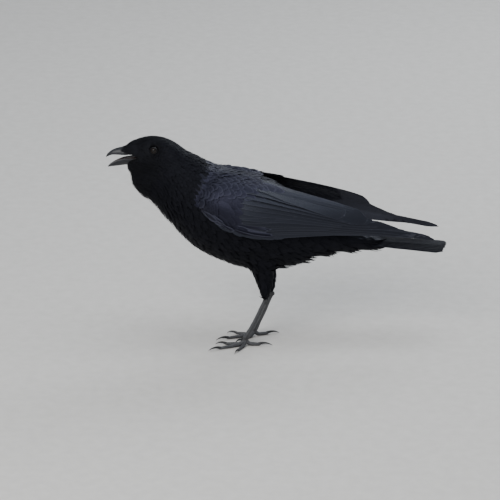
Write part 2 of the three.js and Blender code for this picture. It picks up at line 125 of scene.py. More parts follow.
# The two halves of the bill from tip to root: the middle line (y, z), the half width, the height
# above the line and the depth below it.
UPPER_BILL = {
    "tip": (-194.3, 258.6, 0.7, 0.8, 0.5),
    "hook": (-191.4, 261.2, 1.9, 2.6, 1.2),
    "nail": (-185.5, 263.6, 3.6, 4.9, 1.2),
    "ridge": (-178, 264, 5.3, 7.4, 1.2),
    "nostril": (-168, 264, 7.4, 9.6, 1.2),
    "root": (-157, 265.8, 9.3, 10.5, 1.2),
    "end": (-147, 265.5, 10.2, 8.5, 1.2),
}
LOWER_BILL = {
    "tip": (-191.9, 245.4, 0.8, 0.5, 0.7),
    "blade": (-186.5, 249.4, 2.7, 0.9, 3.9),
    "gonys": (-179, 253.2, 4.6, 1.0, 6.9),
    "jaw": (-169.5, 256.2, 6.6, 1.0, 8.6),
    "root": (-157, 257.3, 8.7, 1.0, 8.4),
    "end": (-147, 258.3, 9.6, 1.0, 7.6),
}
TROUGH = {"wall": 1.3, "deepest": 3.2, "depth": 8.0}
BILL_ARC, BILL_TROUGH = 29, 13  # points round a half of the bill, and across its hollow inner face
# The tongue from tip to root: (y, z) of its middle, half width and half height.
TONGUE = [
    (-178.2, 253.4, 0.4, 0.3), (-175.5, 254.0, 1.5, 0.6), (-168, 256.0, 2.8, 0.9),
    (-158, 257.8, 3.6, 1.2), (-150, 258.6, 3.4, 1.1),
]
GAPE = {"y": -146.5, "z": 261.0, "above": 0.22, "below": 0.19}
# Roof and floor of the mouth at its back: y, and both heights.
MOUTH_LINING = [(-168, 262.9, 257.2), (-157, 264.8, 258.1), (-147, 264.4, 259.2), (-140, 263.2, 260.0)]
# A section through the eyelids from the opening outwards: how far round the eye, and how high.
EYELID_FOLDS = [
    (0.0, -0.05), (0.0, 0.24), (0.035, 0.38), (0.08, 0.33), (0.115, 0.20), (0.15, 0.30), (0.20, 0.36),
    (0.28, 0.18), (0.38, -0.3), (0.38, -1.0), (0.2, -0.6),
]

# One leg as if on the left: x is out from the middle, and toes turn out from straight ahead.
LEGS = {
    "left": {
        "thigh": (21, 0, 142), "knee": (26, 16, 98), "ankle": (23, 18.5, 64.5), "foot": (21.5, -8.7, 10),
        "toes": {"middle": 25, "inner": -6, "outer": 68, "hind": 180},
    },
    "right": {
        "thigh": (21, 6, 142), "knee": (24, 22, 96), "ankle": (16, 26.5, 61.5), "foot": (17, 3.2, 9.5),
        "toes": {"middle": -20, "inner": -50, "outer": 18, "hind": 160},
    },
}
TOES = {
    "middle": {"length": 41, "claw": 14, "thick": 3.2, "scutes": 15, "joints": 3},
    "inner": {"length": 29, "claw": 12, "thick": 3.0, "scutes": 11, "joints": 2},
    "outer": {"length": 28, "claw": 11, "thick": 2.9, "scutes": 12, "joints": 4},
    "hind": {"length": 21, "claw": 15, "thick": 3.3, "scutes": 8, "joints": 1},
}

FLESH = ["head", "neck", "trunk", "rump"]
FLESH += [part + side for side in ("_left", "_right") for part in ("wing_arm", "thigh", "tarsus")]
FLESH += [f"toe_{toe}_{side}" for side in SIDES for toe in TOES]

# ------------------------------------------------------------------ frame and numbers

MM = 0.001
PATCH = 0.003  # width of one feather's patch on a coat's map
eye_low, eye_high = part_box("eye_left")
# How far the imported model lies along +Y of the millimetres used here.
SHIFT = (eye_low.y + eye_high.y) / 2 / MM - EYE["y"]


def to_row(points):
    return (np.asarray(points, float) + (0, SHIFT, 0)) * MM


def from_row(points):
    return np.asarray(points, float) / MM - (0, SHIFT, 0)


def unit(vectors):
    return vectors / np.maximum(np.linalg.norm(vectors, axis=-1, keepdims=True), 1e-9)


def level(ways, normals):
    """These ways turned square to the normals."""
    return unit(ways - normals * (ways * normals).sum(1, keepdims=True))


def smooth(low, high, value):
    """0 below low, 1 above high and a smooth step between."""
    t = np.clip((value - low) / (high - low), 0, 1)
    return t * t * (3 - 2 * t)


def mix(first, last, share):
    """The value that share, 0 to 1, of the way from first to last."""
    return first + (last - first) * share


def curve_weights(count, t):
    """The share of each of count points in a smooth curve through them, at each t from 0 to 1."""
    t = np.atleast_1d(np.asarray(t, float))
    place = np.clip(t, 0, 1) * (count - 1)
    first = np.minimum(place.astype(int), count - 2)
    f = place - first
    share = [
        (-f + 2 * f**2 - f**3) / 2,
        (2 - 5 * f**2 + 3 * f**3) / 2,
        (f + 4 * f**2 - 3 * f**3) / 2,
        (-(f**2) + f**3) / 2,
    ]
    padded = np.zeros((len(t), count + 2))
    for k in range(4):
        padded[np.arange(len(t)), first + k] += share[k]
    ends = np.zeros((count + 2, count))
    ends[1:-1] = np.eye(count)
    ends[0, :2] = (2, -1)
    ends[-1, -2:] = (-1, 2)
    return padded @ ends


def curve(points, t):
    """Points at t, 0 to 1, on the smooth curve through these."""
    points = np.asarray(points, float)
    shape = np.shape(t)
    found = curve_weights(len(points), np.ravel(t)) @ points.reshape(len(points), -1)
    return found.reshape(shape + points.shape[1:])


def arrays(names, grow=0.0):
    """The vertices and triangles of CAD nodes in the bird's millimetres, each node grown by grow."""
    vertices, triangles, count = [], [], 0
    for name in names:
        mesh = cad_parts[name].data
        mesh.calc_loop_triangles()
        co = np.empty(len(mesh.vertices) * 3)
        mesh.vertices.foreach_get("co", co)
        tri = np.empty(len(mesh.loop_triangles) * 3, int)
        mesh.loop_triangles.foreach_get("vertices", tri)
        co = from_row(co.reshape(-1, 3))
        # Vertices in one place are one vertex, so that growing opens no crack.
        _, keep, same = np.unique(np.round(co, 2), axis=0, return_index=True, return_inverse=True)
        co, tri = co[keep], same.ravel()[tri].reshape(-1, 3)
        a, b, c = co[tri[:, 0]], co[tri[:, 1]], co[tri[:, 2]]
        face = np.cross(b - a, c - a)
        normal = np.zeros_like(co)
        for corner in range(3):
            np.add.at(normal, tri[:, corner], face)
        vertices.append(co + unit(normal) * grow)
        triangles.append(tri + count)
        count += len(co)
    return np.vstack(vertices), np.vstack(triangles)


def mesh_of(name, vertices, corners, sizes):
    """A mesh from flat arrays: the corners of its faces in turn, and each face's count of corners."""
    mesh = bpy.data.meshes.new(name)
    mesh.vertices.add(len(vertices))
    mesh.vertices.foreach_set("co", np.ascontiguousarray(vertices, np.float32).ravel())
    mesh.loops.add(len(corners))
    mesh.loops.foreach_set("vertex_index", np.ascontiguousarray(corners, np.int32))
    mesh.polygons.add(len(sizes))
    starts = np.concatenate([[0], np.cumsum(sizes)[:-1]])
    mesh.polygons.foreach_set("loop_start", np.ascontiguousarray(starts, np.int32))
    mesh.update(calc_edges=True)
    return mesh


def add_object(name, mesh):
    made = bpy.data.objects.new(name, mesh)
    bpy.context.scene.collection.objects.link(made)
    return made


def outward(vertices, corners, sizes):
    """The faces of a closed body, turned to face out, in the order they came."""
    starts = np.cumsum(sizes) - sizes
    after = np.arange(len(corners)) + 1
    after[starts + sizes - 1] = starts
    a = vertices[corners[np.repeat(starts, sizes)]]
    b, c = vertices[corners], vertices[corners[after]]
    volume = np.einsum("ij,ij->", a, np.cross(b, c))
    if volume > 0:
        return corners, sizes
    turned = np.repeat(2 * starts + sizes - 1, sizes) - np.arange(len(corners))
    return corners[turned], sizes


def tube(rings):
    """A closed body through rings of points (rows, around, 3)."""
    rows, around, _ = rings.shape
    at = np.arange(rows * around).reshape(rows, around)
    after = np.roll(at, -1, axis=1)
    sides = np.stack([at[:-1], after[:-1], after[1:], at[1:]], -1).reshape(-1)
    corners = np.concatenate([sides, at[0, ::-1], at[-1]])
    sizes = np.concatenate([np.full(len(sides) // 4, 4), [around, around]])
    vertices = rings.reshape(-1, 3)
    return (vertices, *outward(vertices, corners, sizes))


def hoop(rings):
    """A closed ring-shaped body through rings of points, the last joined to the first."""
    rows, around, _ = rings.shape
    at = np.arange(rows * around).reshape(rows, around)
    after, below = np.roll(at, -1, axis=1), np.roll(at, -1, axis=0)
    corners = np.stack([at, after, np.roll(below, -1, axis=1), below], -1).reshape(-1)
    vertices = rings.reshape(-1, 3)
    return (vertices, *outward(vertices, corners, np.full(len(corners) // 4, 4)))


def slab(top, bottom):
    """A closed body between two like grids of points (rows, columns, 3)."""
    rows, columns, _ = top.shape
    at = np.arange(rows * columns).reshape(rows, columns)
    faces = np.stack([at[:-1, :-1], at[1:, :-1], at[1:, 1:], at[:-1, 1:]], -1).reshape(-1, 4)
    border = np.concatenate([at[0], at[1:, -1], at[-1, -2::-1], at[-2:0:-1, 0]])
    after = np.roll(border, -1)
    low = rows * columns
    sides = np.stack([border, after, after + low, border + low], -1)
    corners = np.concatenate([faces, faces[:, ::-1] + low, sides]).ravel()
    vertices = np.concatenate([top.reshape(-1, 3), bottom.reshape(-1, 3)])
    return (vertices, *outward(vertices, corners, np.full(len(corners) // 4, 4)))


class Solids:
    """Closed bodies gathered into one mesh."""

    def __init__(self):
        self.vertices, self.corners, self.sizes, self.places, self.stuff = [], [], [], [], []
        self.count = 0

    def join(self, vertices, corners, sizes, places, stuff=0):
        """More bodies: places are their corners' on the map, stuff each face's material or all faces'."""
        self.vertices.append(vertices)
        self.corners.append(corners + self.count)
        self.sizes.append(sizes)
        self.places.append(places)
        self.stuff.append(np.broadcast_to(stuff, len(sizes)))
        self.count += len(vertices)

    def add(self, body, place=(0.5, 0.5), stuff=0):
        """One more body, on a small patch of the map at place."""
        vertices, corners, sizes = body
        low, high = vertices.min(0), vertices.max(0)
        flat = (vertices - low)[:, [1, 2]] + (vertices - low)[:, [0]] * 0.5
        flat = flat / max(float((high - low).max()), 1e-6) - 0.5
        self.join(vertices, corners, sizes, (np.asarray(place) + flat * PATCH)[corners], stuff)

    def arrays(self):
        return np.vstack(self.vertices), np.concatenate(self.corners), np.concatenate(self.sizes)

    def piece(self, name, materials, slot, replaces=(), sharp=50, coat=False):
        """A piece of the bird, smooth-shaded but for edges sharper than that many degrees.

        A coat is one of many small parts, and each has its own patch on the map.
        """
        vertices, corners, sizes = self.arrays()
        made = add_object(name, mesh_of(name, to_row(vertices), corners, sizes))
        for material in materials:
            made.data.materials.append(material)
        made.data.polygons.foreach_set("material_index", np.concatenate(self.stuff).astype(np.int32))
        made.data.shade_smooth()
        made.data.set_sharp_from_angle(angle=math.radians(sharp))
        if coat:
            layer = made.data.uv_layers.new(name="OFBake", do_init=False)
            places = np.clip(np.vstack(self.places), 0, 1)
            layer.uv.foreach_set("vector", places.astype(np.float32).ravel())
        if replaces:
            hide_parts(*replaces)
        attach(made, "root")
        return made


def solid(name, body, materials, slot, replaces=(), sharp=50, stuff=0):
    """A piece that is one closed body."""
    one = Solids()
    one.add(body, stuff=stuff)
    return one.piece(name, materials, slot, replaces, sharp)


def set_attribute(mesh, name, values):
    layer = mesh.attributes.new(name, "FLOAT_VECTOR", "POINT")
    layer.data.foreach_set("vector", np.ascontiguousarray(values, np.float32).ravel())


# ------------------------------------------------------------------ surfaces to grow on


def wrapped(vertices, corners, sizes, voxel):
    """One closed surface round these bodies: its vertices, quads and edges."""
    source = mesh_of("remesh", vertices, corners, sizes)
    holder = add_object("remesh", source)
    around = holder.modifiers.new("around", "REMESH")
    around.mode = "VOXEL"
    around.voxel_size = voxel
    graph = bpy.context.evaluated_depsgraph_get()
    result = bpy.data.meshes.new_from_object(holder.evaluated_get(graph))
    co = np.empty(len(result.vertices) * 3)
    result.vertices.foreach_get("co", co)
    quads = np.empty(len(result.loops), int)
    result.loops.foreach_get("vertex_index", quads)
    edges = np.empty(len(result.edges) * 2, int)
    result.edges.foreach_get("vertices", edges)
    bpy.data.objects.remove(holder)
    bpy.data.meshes.remove(source)
    bpy.data.meshes.remove(result)
    return co.reshape(-1, 3), quads.reshape(-1, 4), edges.reshape(-1, 2)


def remeshed(names, voxel):
    """One closed surface round these CAD nodes."""
    vertices, triangles = arrays(names, grow=0.3)
    return wrapped(vertices, triangles.ravel(), np.full(len(triangles), 3), voxel)


def averaged(values, edges, count):
    """Each vertex's mean of its neighbours' values."""
    a, b = edges.T
    degree = np.bincount(a, minlength=count) + np.bincount(b, minlength=count)
    columns = values.reshape(count, -1)
    total = np.stack(
        [
            np.bincount(a, column[b], count) + np.bincount(b, column[a], count)
            for column in columns.T
        ],
        axis=1,
    )
    return (total / np.maximum(degree, 1)[:, None]).reshape(values.shape)


def relaxed(vertices, edges, rounds):
    """Vertices smoothed by up to that many rounds each."""
    rounds = np.broadcast_to(rounds, len(vertices))
    for turn in range(int(rounds.max())):
        share = np.clip(rounds - turn, 0, 1)[:, None] * 0.5
        vertices = vertices + (averaged(vertices, edges, len(vertices)) - vertices) * share
    return vertices


def vertex_normals(vertices, quads):
    a, b, c, d = (vertices[quads[:, k]] for k in range(4))
    face = np.cross(c - a, d - b)
    normal = np.zeros_like(vertices)
    for k in range(4):
        np.add.at(normal, quads[:, k], face)
    return unit(normal)


class Surface:
    """A surface that feathers can be laid on."""

    def __init__(self, vertices, faces):
        self.vertices = vertices
        self.faces = faces
        self.tree = BVHTree.FromPolygons(vertices.tolist(), faces.tolist())

    def nearest(self, points):
        """The nearest place on the surface to each point, and the way out of it there."""
        found = [self.tree.find_nearest(point)[:2] for point in points]
        return tuple(np.array([row[k] for row in found], float) for k in range(2))

    def distance(self, points):
        return np.array([self.tree.find_nearest(point)[3] for point in points])

    def covers(self, points, ways, reach):
        """Whether each point's way out meets this surface within reach."""
        hits = [self.tree.ray_cast(p, w, reach)[0] is not None for p, w in zip(points, ways)]
        return np.array(hits, bool)

    def run(self, roots, ways, lengths, rows):
        """Lines over the surface from each root: their points and normals, (count, rows, 3)."""
        step = (lengths / (rows - 1))[:, None]
        point, normal = self.nearest(roots)
        way = level(ways, normal)
        points, normals = [point], [normal]
        for _ in range(rows - 1):
            point, found = self.nearest(point + way * step)
            # A turn of the surface is followed softly, as a quill bends.
            normal = unit(normal + found)
            way = level(way, normal)
            points.append(point)
            normals.append(normal)
        return np.stack(points, 1), np.stack(normals, 1)


def smooth_surface(names, voxel, rounds):
    """A surface round these CAD nodes, smoothed by that many rounds."""
    vertices, quads, edges = remeshed(names, voxel)
    return Surface(relaxed(vertices, edges, rounds), quads)


CROWD = 7  # places tried for each one that a surface has room for


def tree_of(points):
    tree = KDTree(len(points))
    for index, point in enumerate(points):
        tree.insert(point, index)
    tree.balance()
    return tree


def scatter(surface, spacing_at, seed):
    """Places over a surface, each no nearer another than its own spacing; none where it is endless."""
    rng = np.random.default_rng(seed)
    quads = surface.faces
    tri = np.vstack([quads[:, :3], quads[:, [0, 2, 3]]])
    a, b, c = (surface.vertices[tri[:, k]] for k in range(3))
    area = np.linalg.norm(np.cross(b - a, c - a), axis=1) / 2
    wanted = area / spacing_at((a + b + c) / 3) ** 2
    count = int(CROWD * wanted.sum())
    chosen = rng.choice(len(tri), count, p=wanted / wanted.sum())
    u, v = rng.random(count), rng.random(count)
    over = u + v > 1
    u[over], v[over] = 1 - u[over], 1 - v[over]
    points = a[chosen] + (b - a)[chosen] * u[:, None] + (c - a)[chosen] * v[:, None]
    radius = spacing_at(points)
    points, radius = points[np.isfinite(radius)], radius[np.isfinite(radius)]
    tree = tree_of(points)
    free, kept = np.ones(len(points), bool), []
    for i in range(len(points)):
        if free[i]:
            kept.append(i)
            for _, j, _ in tree.find_range(points[i], radius[i]):
                free[j] = False
    return points[kept]


# ------------------------------------------------------------------ feathers

MARK_SPREAD = 40  # each feather's own mark is a number from 0 to this


class Vanes(Solids):
    """Feathers gathered into one mesh, each a thin closed vane."""

    def __init__(self):
        super().__init__()
        # For the material, at each point of a vane: millimetres across it and along it and its
        # mark, then millimetres to its side and to its tip and how much painted sheen it gets.
        self.vane, self.part = [], []

    def add(
        self, line, normal, half, place, *, seed, base=0.4, widest=0.5, taper=0.2, rounding=0.22,
        camber=0.09, columns=5, ragged=0.04, tilt=0.0, gloss=0.5,
    ):
        """Vanes along line (count, rows, 3), half wide, rooted at place (count, 2) on the map.

        base and taper narrow the root and the end, rounding rounds the end off, camber arches the
        vane and tilt turns it about its quill. ragged is how uneven its outline is.
        """
        rng = np.random.default_rng(seed)
        count, rows, _ = line.shape
        t = np.linspace(0, 1, rows) ** 0.85
        x = np.linspace(-1, 1, columns)
        ahead = np.gradient(line, axis=1)
        across = unit(np.cross(normal, ahead))
        upward = unit(np.cross(ahead, across))
        narrowed = taper * np.clip((t - widest) / (1 - widest), 0, 1) ** 2
        width = base + (1 - base) * smooth(0, widest, t) - narrowed
        width = width * (1 + rng.normal(0, ragged, (count, rows)))
        # Each column ends where the rounded, slightly frayed tip does.
        fray = ragged * rng.random((count, columns)) * 1.5
        end = 1 - np.reshape(rounding, (-1, 1)) * np.abs(x) ** 2.2 - fray
        place_t = np.clip(t[None, :, None] * end[:, None, :], 0, 1)
        index = np.interp(place_t, t, np.arange(rows))
        low = np.minimum(index.astype(int), rows - 2)
        share = (index - low)[..., None]
        which = np.arange(count)[:, None, None]

        def along(values):
            return values[which, low] * (1 - share) + values[which, low + 1] * share

        centre, side, up = along(line), along(across), along(upward)
        half = np.broadcast_to(np.asarray(half, float), (count,))
        span = along(np.repeat(width[..., None], 3, -1))[..., 0] * half[:, None, None]
        shift = span * x
        rise = camber * span * (1 - x**2) - camber * 0.5 * span + tilt * shift
        points = centre + side * shift[..., None] + up * rise[..., None]
        length = np.linalg.norm(np.diff(line, axis=1), axis=2).sum(1)[:, None, None]
        mark = rng.random(count) * MARK_SPREAD
        mark = np.broadcast_to(mark[:, None, None], shift.shape)
        painted_shine = np.broadcast_to(np.asarray(gloss, float).reshape(-1, 1, 1), shift.shape)
        to_side = span * (1 - np.abs(x))
        to_tip = (1 - t)[None, :, None] * end[:, None, :] * length
        self.vane.append(np.stack([shift, place_t * length, mark], -1).reshape(-1, 3))
        self.part.append(np.stack([to_side, to_tip, painted_shine], -1).reshape(-1, 3))
        self.join(points.reshape(-1, 3), *self.closed(count, x, t, place))

    def closed(self, count, x, t, place):
        """The faces of count vanes with columns at x and rows at t, and their corners on the map."""
        rows, columns = len(t), len(x)
        at = np.arange(rows * columns).reshape(rows, columns)
        top = np.stack([at[:-1, :-1], at[1:, :-1], at[1:, 1:], at[:-1, 1:]], -1).reshape(-1)
        under = np.stack([at[:-1, 0], at[:-1, -1], at[1:, -1], at[1:, 0]], -1).reshape(-1)
        corners = np.concatenate([top, under, at[-1, ::-1], at[0]])
        sizes = np.concatenate([np.full(len(top) // 4 + len(under) // 4, 4), [columns, columns]])
        flat = np.stack(np.broadcast_arrays(x, 2 * t[:, None] - 1), -1)
        patch = flat.reshape(-1, 2)[corners]
        # The two end faces get a little room on the map too.
        sliver = 0.2 * (1 - x**2)
        patch[-2 * columns : -columns, 1] -= sliver[::-1]
        patch[-columns:, 1] += sliver
        offset = np.arange(count)[:, None] * rows * columns
        places = (place[:, None] + patch[None] * PATCH / 2).reshape(-1, 2)
        return (corners[None] + offset).ravel(), np.tile(sizes, count), places

    def piece(self, name, material, slot="plumage", replaces=()):
        made = super().piece(name, [material], slot, replaces, sharp=60, coat=True)
        set_attribute(made.data, "vane", np.vstack(self.vane))
        set_attribute(made.data, "part", np.vstack(self.part))
        return made


def on_map(places):
    """Places on an unwrap, spread over the whole map with a margin of one patch."""
    low, high = places.min(0), places.max(0)
    return 2 * PATCH + (places - low) / np.maximum(high - low, 1e-6) * (1 - 4 * PATCH)


def laid(points, normals, depth, lift, droop=0.0):
    """Quills from their roots, depth under a surface, up to it and lift above it at their tips."""
    t = np.linspace(0, 1, points.shape[1])
    depth, lift = (np.asarray(v, float).reshape(-1, 1) for v in (depth, lift))
    height = -depth * (1 - t) ** 1.15 + lift * t**2
    points = points + normals * height[..., None]
    points[..., 2] -= np.asarray(droop, float).reshape(-1, 1) * t**2
    return points


# ------------------------------------------------------------------ the plumage's flow

spine_t = np.linspace(0, 1, 260)
spine = np.insert(curve(SPINE, spine_t), 0, 0.0, axis=1)
spine_way = unit(np.gradient(spine, axis=0))
spine_up = np.stack([np.zeros(len(spine)), -spine_way[:, 2], spine_way[:, 1]], 1)
spine_reach = np.concatenate([[0], np.cumsum(np.linalg.norm(np.diff(spine, axis=0), axis=1))])


def beside_spine(points):
    """Each point's nearest place on the spine: its distance along it, angle round it and way."""
    gap = (points[:, None, 1:] - spine[None, :, 1:]) ** 2
    nearest = gap.sum(2).argmin(1)
    off = points - spine[nearest]
    angle = np.arctan2((off * spine_up[nearest]).sum(1), off[:, 0])
    return spine_reach[nearest], angle, spine_way[nearest]


def thigh_share(points):
    """How far each point belongs to a thigh, 0 to 1, and the way down that thigh there."""
    share, way = np.zeros(len(points)), np.zeros((len(points), 3))
    for name, side in SIDES.items():
        leg = LEGS[name]
        mirror = np.array([side, 1, 1])
        t = np.linspace(0, 1, 40)
        axis = curve([leg["thigh"], leg["knee"], leg["ankle"]], t) * mirror
        radius = curve([[23], [12.8], [6.5]], t)[:, 0]
        gap = np.linalg.norm(points[:, None] - axis[None], axis=2) / radius
        nearest = gap.argmin(1)
        here = (1 - smooth(1.15, 1.6, gap.min(1))) * (1 - smooth(98, 116, points[:, 2]))
        ways = unit(np.gradient(axis, axis=0))[nearest]
        way += ways * here[:, None]
        share = np.maximum(share, here)
    return share, way


def plumage_at(points):
    """Spacing, length, width, depth and lift of the feathers that grow at each point."""
    reach, angle, _ = beside_spine(points)
    stations = [row[0] for row in PLUMAGE.values()]
    over = np.array([row[1] for row in PLUMAGE.values()])
    under = np.array([row[2] for row in PLUMAGE.values()])
    up = smooth(-0.55, 0.45, np.sin(angle))
    share, _ = thigh_share(points)
    found = []
    for k in range(5):
        body = np.interp(reach, stations, under[:, k]) * (1 - up)
        body += np.interp(reach, stations, over[:, k]) * up
        found.append(body * (1 - share) + THIGH_PLUMAGE[k] * share)
    return found


def parting_at(points):
    """How near each point is, 0 to 1, to where plumage parts before the eyes, forward and back."""
    y, z = points[:, 1], points[:, 2]
    across = 1 - smooth(1.0, 10.0, np.abs(y - BRISTLES["behind"]))
    return across * smooth(258, 264, z) * (1 - 0.95 * smooth(270, 275, z))


def lie_at(points, normals):
    """The way feathers point: along the spine or down the thigh, parting round the eyes."""
    _, _, way = beside_spine(points)
    share, down = thigh_share(points)
    way = way * (1 - share[:, None]) + down
    for side in SIDES.values():
        eye = np.array([side * EYE["x"], EYE["y"], EYE["z"]])
        off = points - eye
        gap = np.linalg.norm(off, axis=1)
        way = way + unit(off) * ((1 - smooth(6, 17, gap)) * 0.9)[:, None]
    turned = parting_at(points)[:, None]
    way = way * (1 - 0.75 * turned) + np.array([0, 0, -1.0]) * turned
    return level(way, normals)


# ------------------------------------------------------------------ the folded wing's surface

rail_points = np.array(list(WING_RAILS.values()), float)


def wing_at(u, v, height=0.0):
    """Points and outward normals of the left wing's surface, u from bend to tip, v from low to high."""

    def place(u, v):
        shape = np.broadcast(u, v).shape
        u, v = (np.broadcast_to(w, shape).ravel() for w in (u, v))
        on_rails = np.einsum("su,vuk->svk", curve_weights(9, u), rail_points)
        return np.einsum("sv,svk->sk", curve_weights(4, v), on_rails).reshape(*shape, 3)

    step = 0.004
    u, v = np.broadcast_arrays(u, v)
    inside_u, inside_v = np.clip(u, step, 1 - step), np.clip(v, step, 1 - step)
    back = (place(inside_u + step, inside_v) - place(inside_u - step, inside_v)) / (2 * step)
    over = (place(inside_u, inside_v + step) - place(inside_u, inside_v - step)) / (2 * step)
    # Past its ends the surface goes straight on.
    here = place(inside_u, inside_v) + back * (u - inside_u)[..., None] + over * (v - inside_v)[..., None]
    normal = unit(np.cross(back, over))
    return here + normal * np.asarray(height, float)[..., None], normal


# Millimetres of wing surface to each unit of u and v, at each u.
wing_u = np.linspace(0, 1, 80)
rail_run = [wing_at(wing_u, np.full(80, v))[0] for v in (0.1, 0.5, 0.9)]
WING_LENGTH = np.mean([np.linalg.norm(np.diff(run, axis=0), axis=1).sum() for run in rail_run])
chord_run = wing_at(wing_u[:, None], np.linspace(0, 1, 30)[None])[0]
wing_chord = np.linalg.norm(np.diff(chord_run, axis=1), axis=2).sum(1)


def chord_at(u):
    return np.interp(u, wing_u, wing_chord)


WING_ROWS, WING_COLUMNS = 80, 25
wing_grid, wing_out = (
    found.reshape(-1, 3)
    for found in wing_at(np.linspace(0, 1, WING_ROWS)[:, None], np.linspace(0, 1, WING_COLUMNS)[None])
)
wing_tree = tree_of(wing_grid)


def wing_place(points):
    """Each point's nearest place (u, v) on its own side's wing, its height above it and the way out."""
    mirror = np.where(points[:, :1] < 0, (-1, 1, 1), (1, 1, 1))
    mirrored = points * mirror
    index = np.array([wing_tree.find(point)[1] for point in mirrored])
    height = ((mirrored - wing_grid[index]) * wing_out[index]).sum(1)
    u, v = index // WING_COLUMNS / (WING_ROWS - 1), index % WING_COLUMNS / (WING_COLUMNS - 1)
    return u, v, height, wing_out[index] * mirror


# ------------------------------------------------------------------ materials


class Look:
    """A material with a Principled shader, and the making of its nodes."""

    def __init__(self, name, colour, roughness, **sockets):
        self.material = bpy.data.materials.new(name)
        self.material.use_nodes = True
        self.nodes, self.links = self.material.node_tree.nodes, self.material.node_tree.links
        self.shader = self.nodes["Principled BSDF"].inputs
        self.shader["Base Color"].default_value = (*colour, 1)
        self.shader["Roughness"].default_value = roughness
        for socket, value in sockets.items():
            self.shader[socket.replace("_", " ")].default_value = value

    def node(self, kind, values, **facts):
        """A new node. Each of its sockets in values gets a number, or a link from another node's."""
        made = self.nodes.new("ShaderNode" + kind)
        for fact, value in facts.items():
            setattr(made, fact, value)
        for socket, value in values.items():
            if isinstance(value, bpy.types.NodeSocket):
                self.links.new(value, made.inputs[socket])
            else:
                made.inputs[socket].default_value = value
        return made

    def maths(self, operation, *values):
        return self.node("Math", dict(enumerate(values)), operation=operation).outputs[0]

    def object_place(self):
        return self.node("TexCoord", {}).outputs["Object"]

    def noise(self, scale, detail, place=None):
        values = {"Scale": scale, "Detail": detail, "Vector": place or self.object_place()}
        return self.node("TexNoise", values).outputs["Fac"]

    def ramp(self, value, stops):
        made = self.node("ValToRGB", {"Fac": value})
        elements = made.color_ramp.elements
        while len(elements) < len(stops):
            elements.new(0.5)
        for element, (place, colour) in zip(elements, stops):
            element.position = place
            element.color = (*colour, 1)
        return made.outputs["Color"]

    def spread(self, value, low, high):
        return self.node("MapRange", {"Value": value, "To Min": low, "To Max": high}).outputs["Result"]

    def split(self, attribute):
        vector = self.node("Attribute", {}, attribute_name=attribute).outputs["Vector"]
        return self.node("SeparateXYZ", {0: vector}).outputs

    def give(self, socket, value):
        self.links.new(value, self.shader[socket])

    def bump(self, height, distance):
        self.give("Normal", self.node("Bump", {"Distance": distance, "Height": height}).outputs["Normal"])


def feather_material(name, dark, light, rim, rim_width, roughness, barb, specular, tint, relief=0.00005):
    """Black vanes of close barbs, barb millimetres apart, with a blue to violet gloss and a paler rim painted
    on as a highlight.
    """
    look = Look(name, dark, roughness, Specular_Tint=(*tint, 1), Specular_IOR_Level=specular)
    across, along, mark = look.split("vane")
    to_side, to_tip, gloss = look.split("part")
    # Barbs slant from the quill towards the tip, and cling together in clumps.
    wide = look.maths("ABSOLUTE", across)
    slant = look.maths("MULTIPLY_ADD", wide, -1.1, along)
    wave = look.maths("SINE", look.maths("MULTIPLY", slant, 2 * math.pi / barb))
    flow = {0: look.maths("MULTIPLY", slant, 2.2), 1: look.maths("MULTIPLY", wide, 0.35), 2: mark}
    clump = look.noise(1.0, 2.0, look.node("CombineXYZ", flow).outputs[0])
    look.bump(look.maths("MULTIPLY_ADD", clump, 2.5, look.maths("MULTIPLY", wave, 0.25)), relief)
    # Each feather has its own tone, and one with little painted sheen is painted darker too.
    tone = look.maths("MULTIPLY_ADD", clump, 0.4, look.maths("MULTIPLY", mark, 0.6 / MARK_SPREAD))
    full = look.maths("MINIMUM", look.maths("MULTIPLY", gloss, 6.0), 1.0)
    tones = [(0.0, tuple(0.55 * c for c in dark)), (1.0, light)]
    colour = look.ramp(look.maths("MULTIPLY", tone, full), tones)
    # A painted highlight: it is painted paler along its rim, the more so the more painted sheen it has.
    edge = look.maths("DIVIDE", look.maths("MINIMUM", to_side, to_tip), rim_width)
    edge = look.ramp(edge, [(at, (grey, grey, grey)) for at, grey in ((0.0, 1), (0.4, 0.45), (1.0, 0))])
    mixed = {"Factor": look.maths("MULTIPLY", edge, gloss), "A": colour, "B": (*rim, 1)}
    look.give("Base Color", look.node("Mix", mixed, data_type="RGBA").outputs["Result"])
    look.give("Roughness", look.maths("MULTIPLY_ADD", clump, 0.2, roughness - 0.1))
    return look.material


# The rim colour in each of these is a painted highlight.
velvet = feather_material(
    "head_plumage", (0.003, 0.003, 0.0038), (0.0055, 0.0055, 0.007), (0.006, 0.006, 0.008),
    0.4, 0.62, 0.5, 0.13, (0.80, 0.85, 1.0), relief=0.00003,
)
contour = feather_material(
    "body_plumage", (0.003, 0.003, 0.0038), (0.006, 0.006, 0.008), (0.009, 0.009, 0.012),
    1.0, 0.62, 0.6, 0.10, (0.75, 0.80, 1.0),
)
sheeny = feather_material(
    "back_plumage", (0.004, 0.004, 0.0055), (0.0085, 0.0085, 0.012), (0.022, 0.023, 0.032),
    1.4, 0.54, 0.6, 0.18, (0.68, 0.72, 1.0),
)
glossy = feather_material(
    "wing_plumage", (0.006, 0.006, 0.0092), (0.0125, 0.0125, 0.0195), (0.042, 0.044, 0.062),
    2.6, 0.46, 0.6, 0.27, (0.62, 0.64, 1.0),
)
quills = feather_material(
    "flight_plumage", (0.006, 0.006, 0.008), (0.013, 0.014, 0.019), (0.030, 0.031, 0.040),
    0.9, 0.44, 0.7, 0.34, (0.72, 0.78, 1.0),
)
rectrices = feather_material(
    "tail_plumage", (0.0026, 0.0026, 0.0038), (0.0055, 0.0055, 0.0078), (0.021, 0.022, 0.028),
    0.9, 0.5, 0.7, 0.08, (0.72, 0.78, 1.0),
)


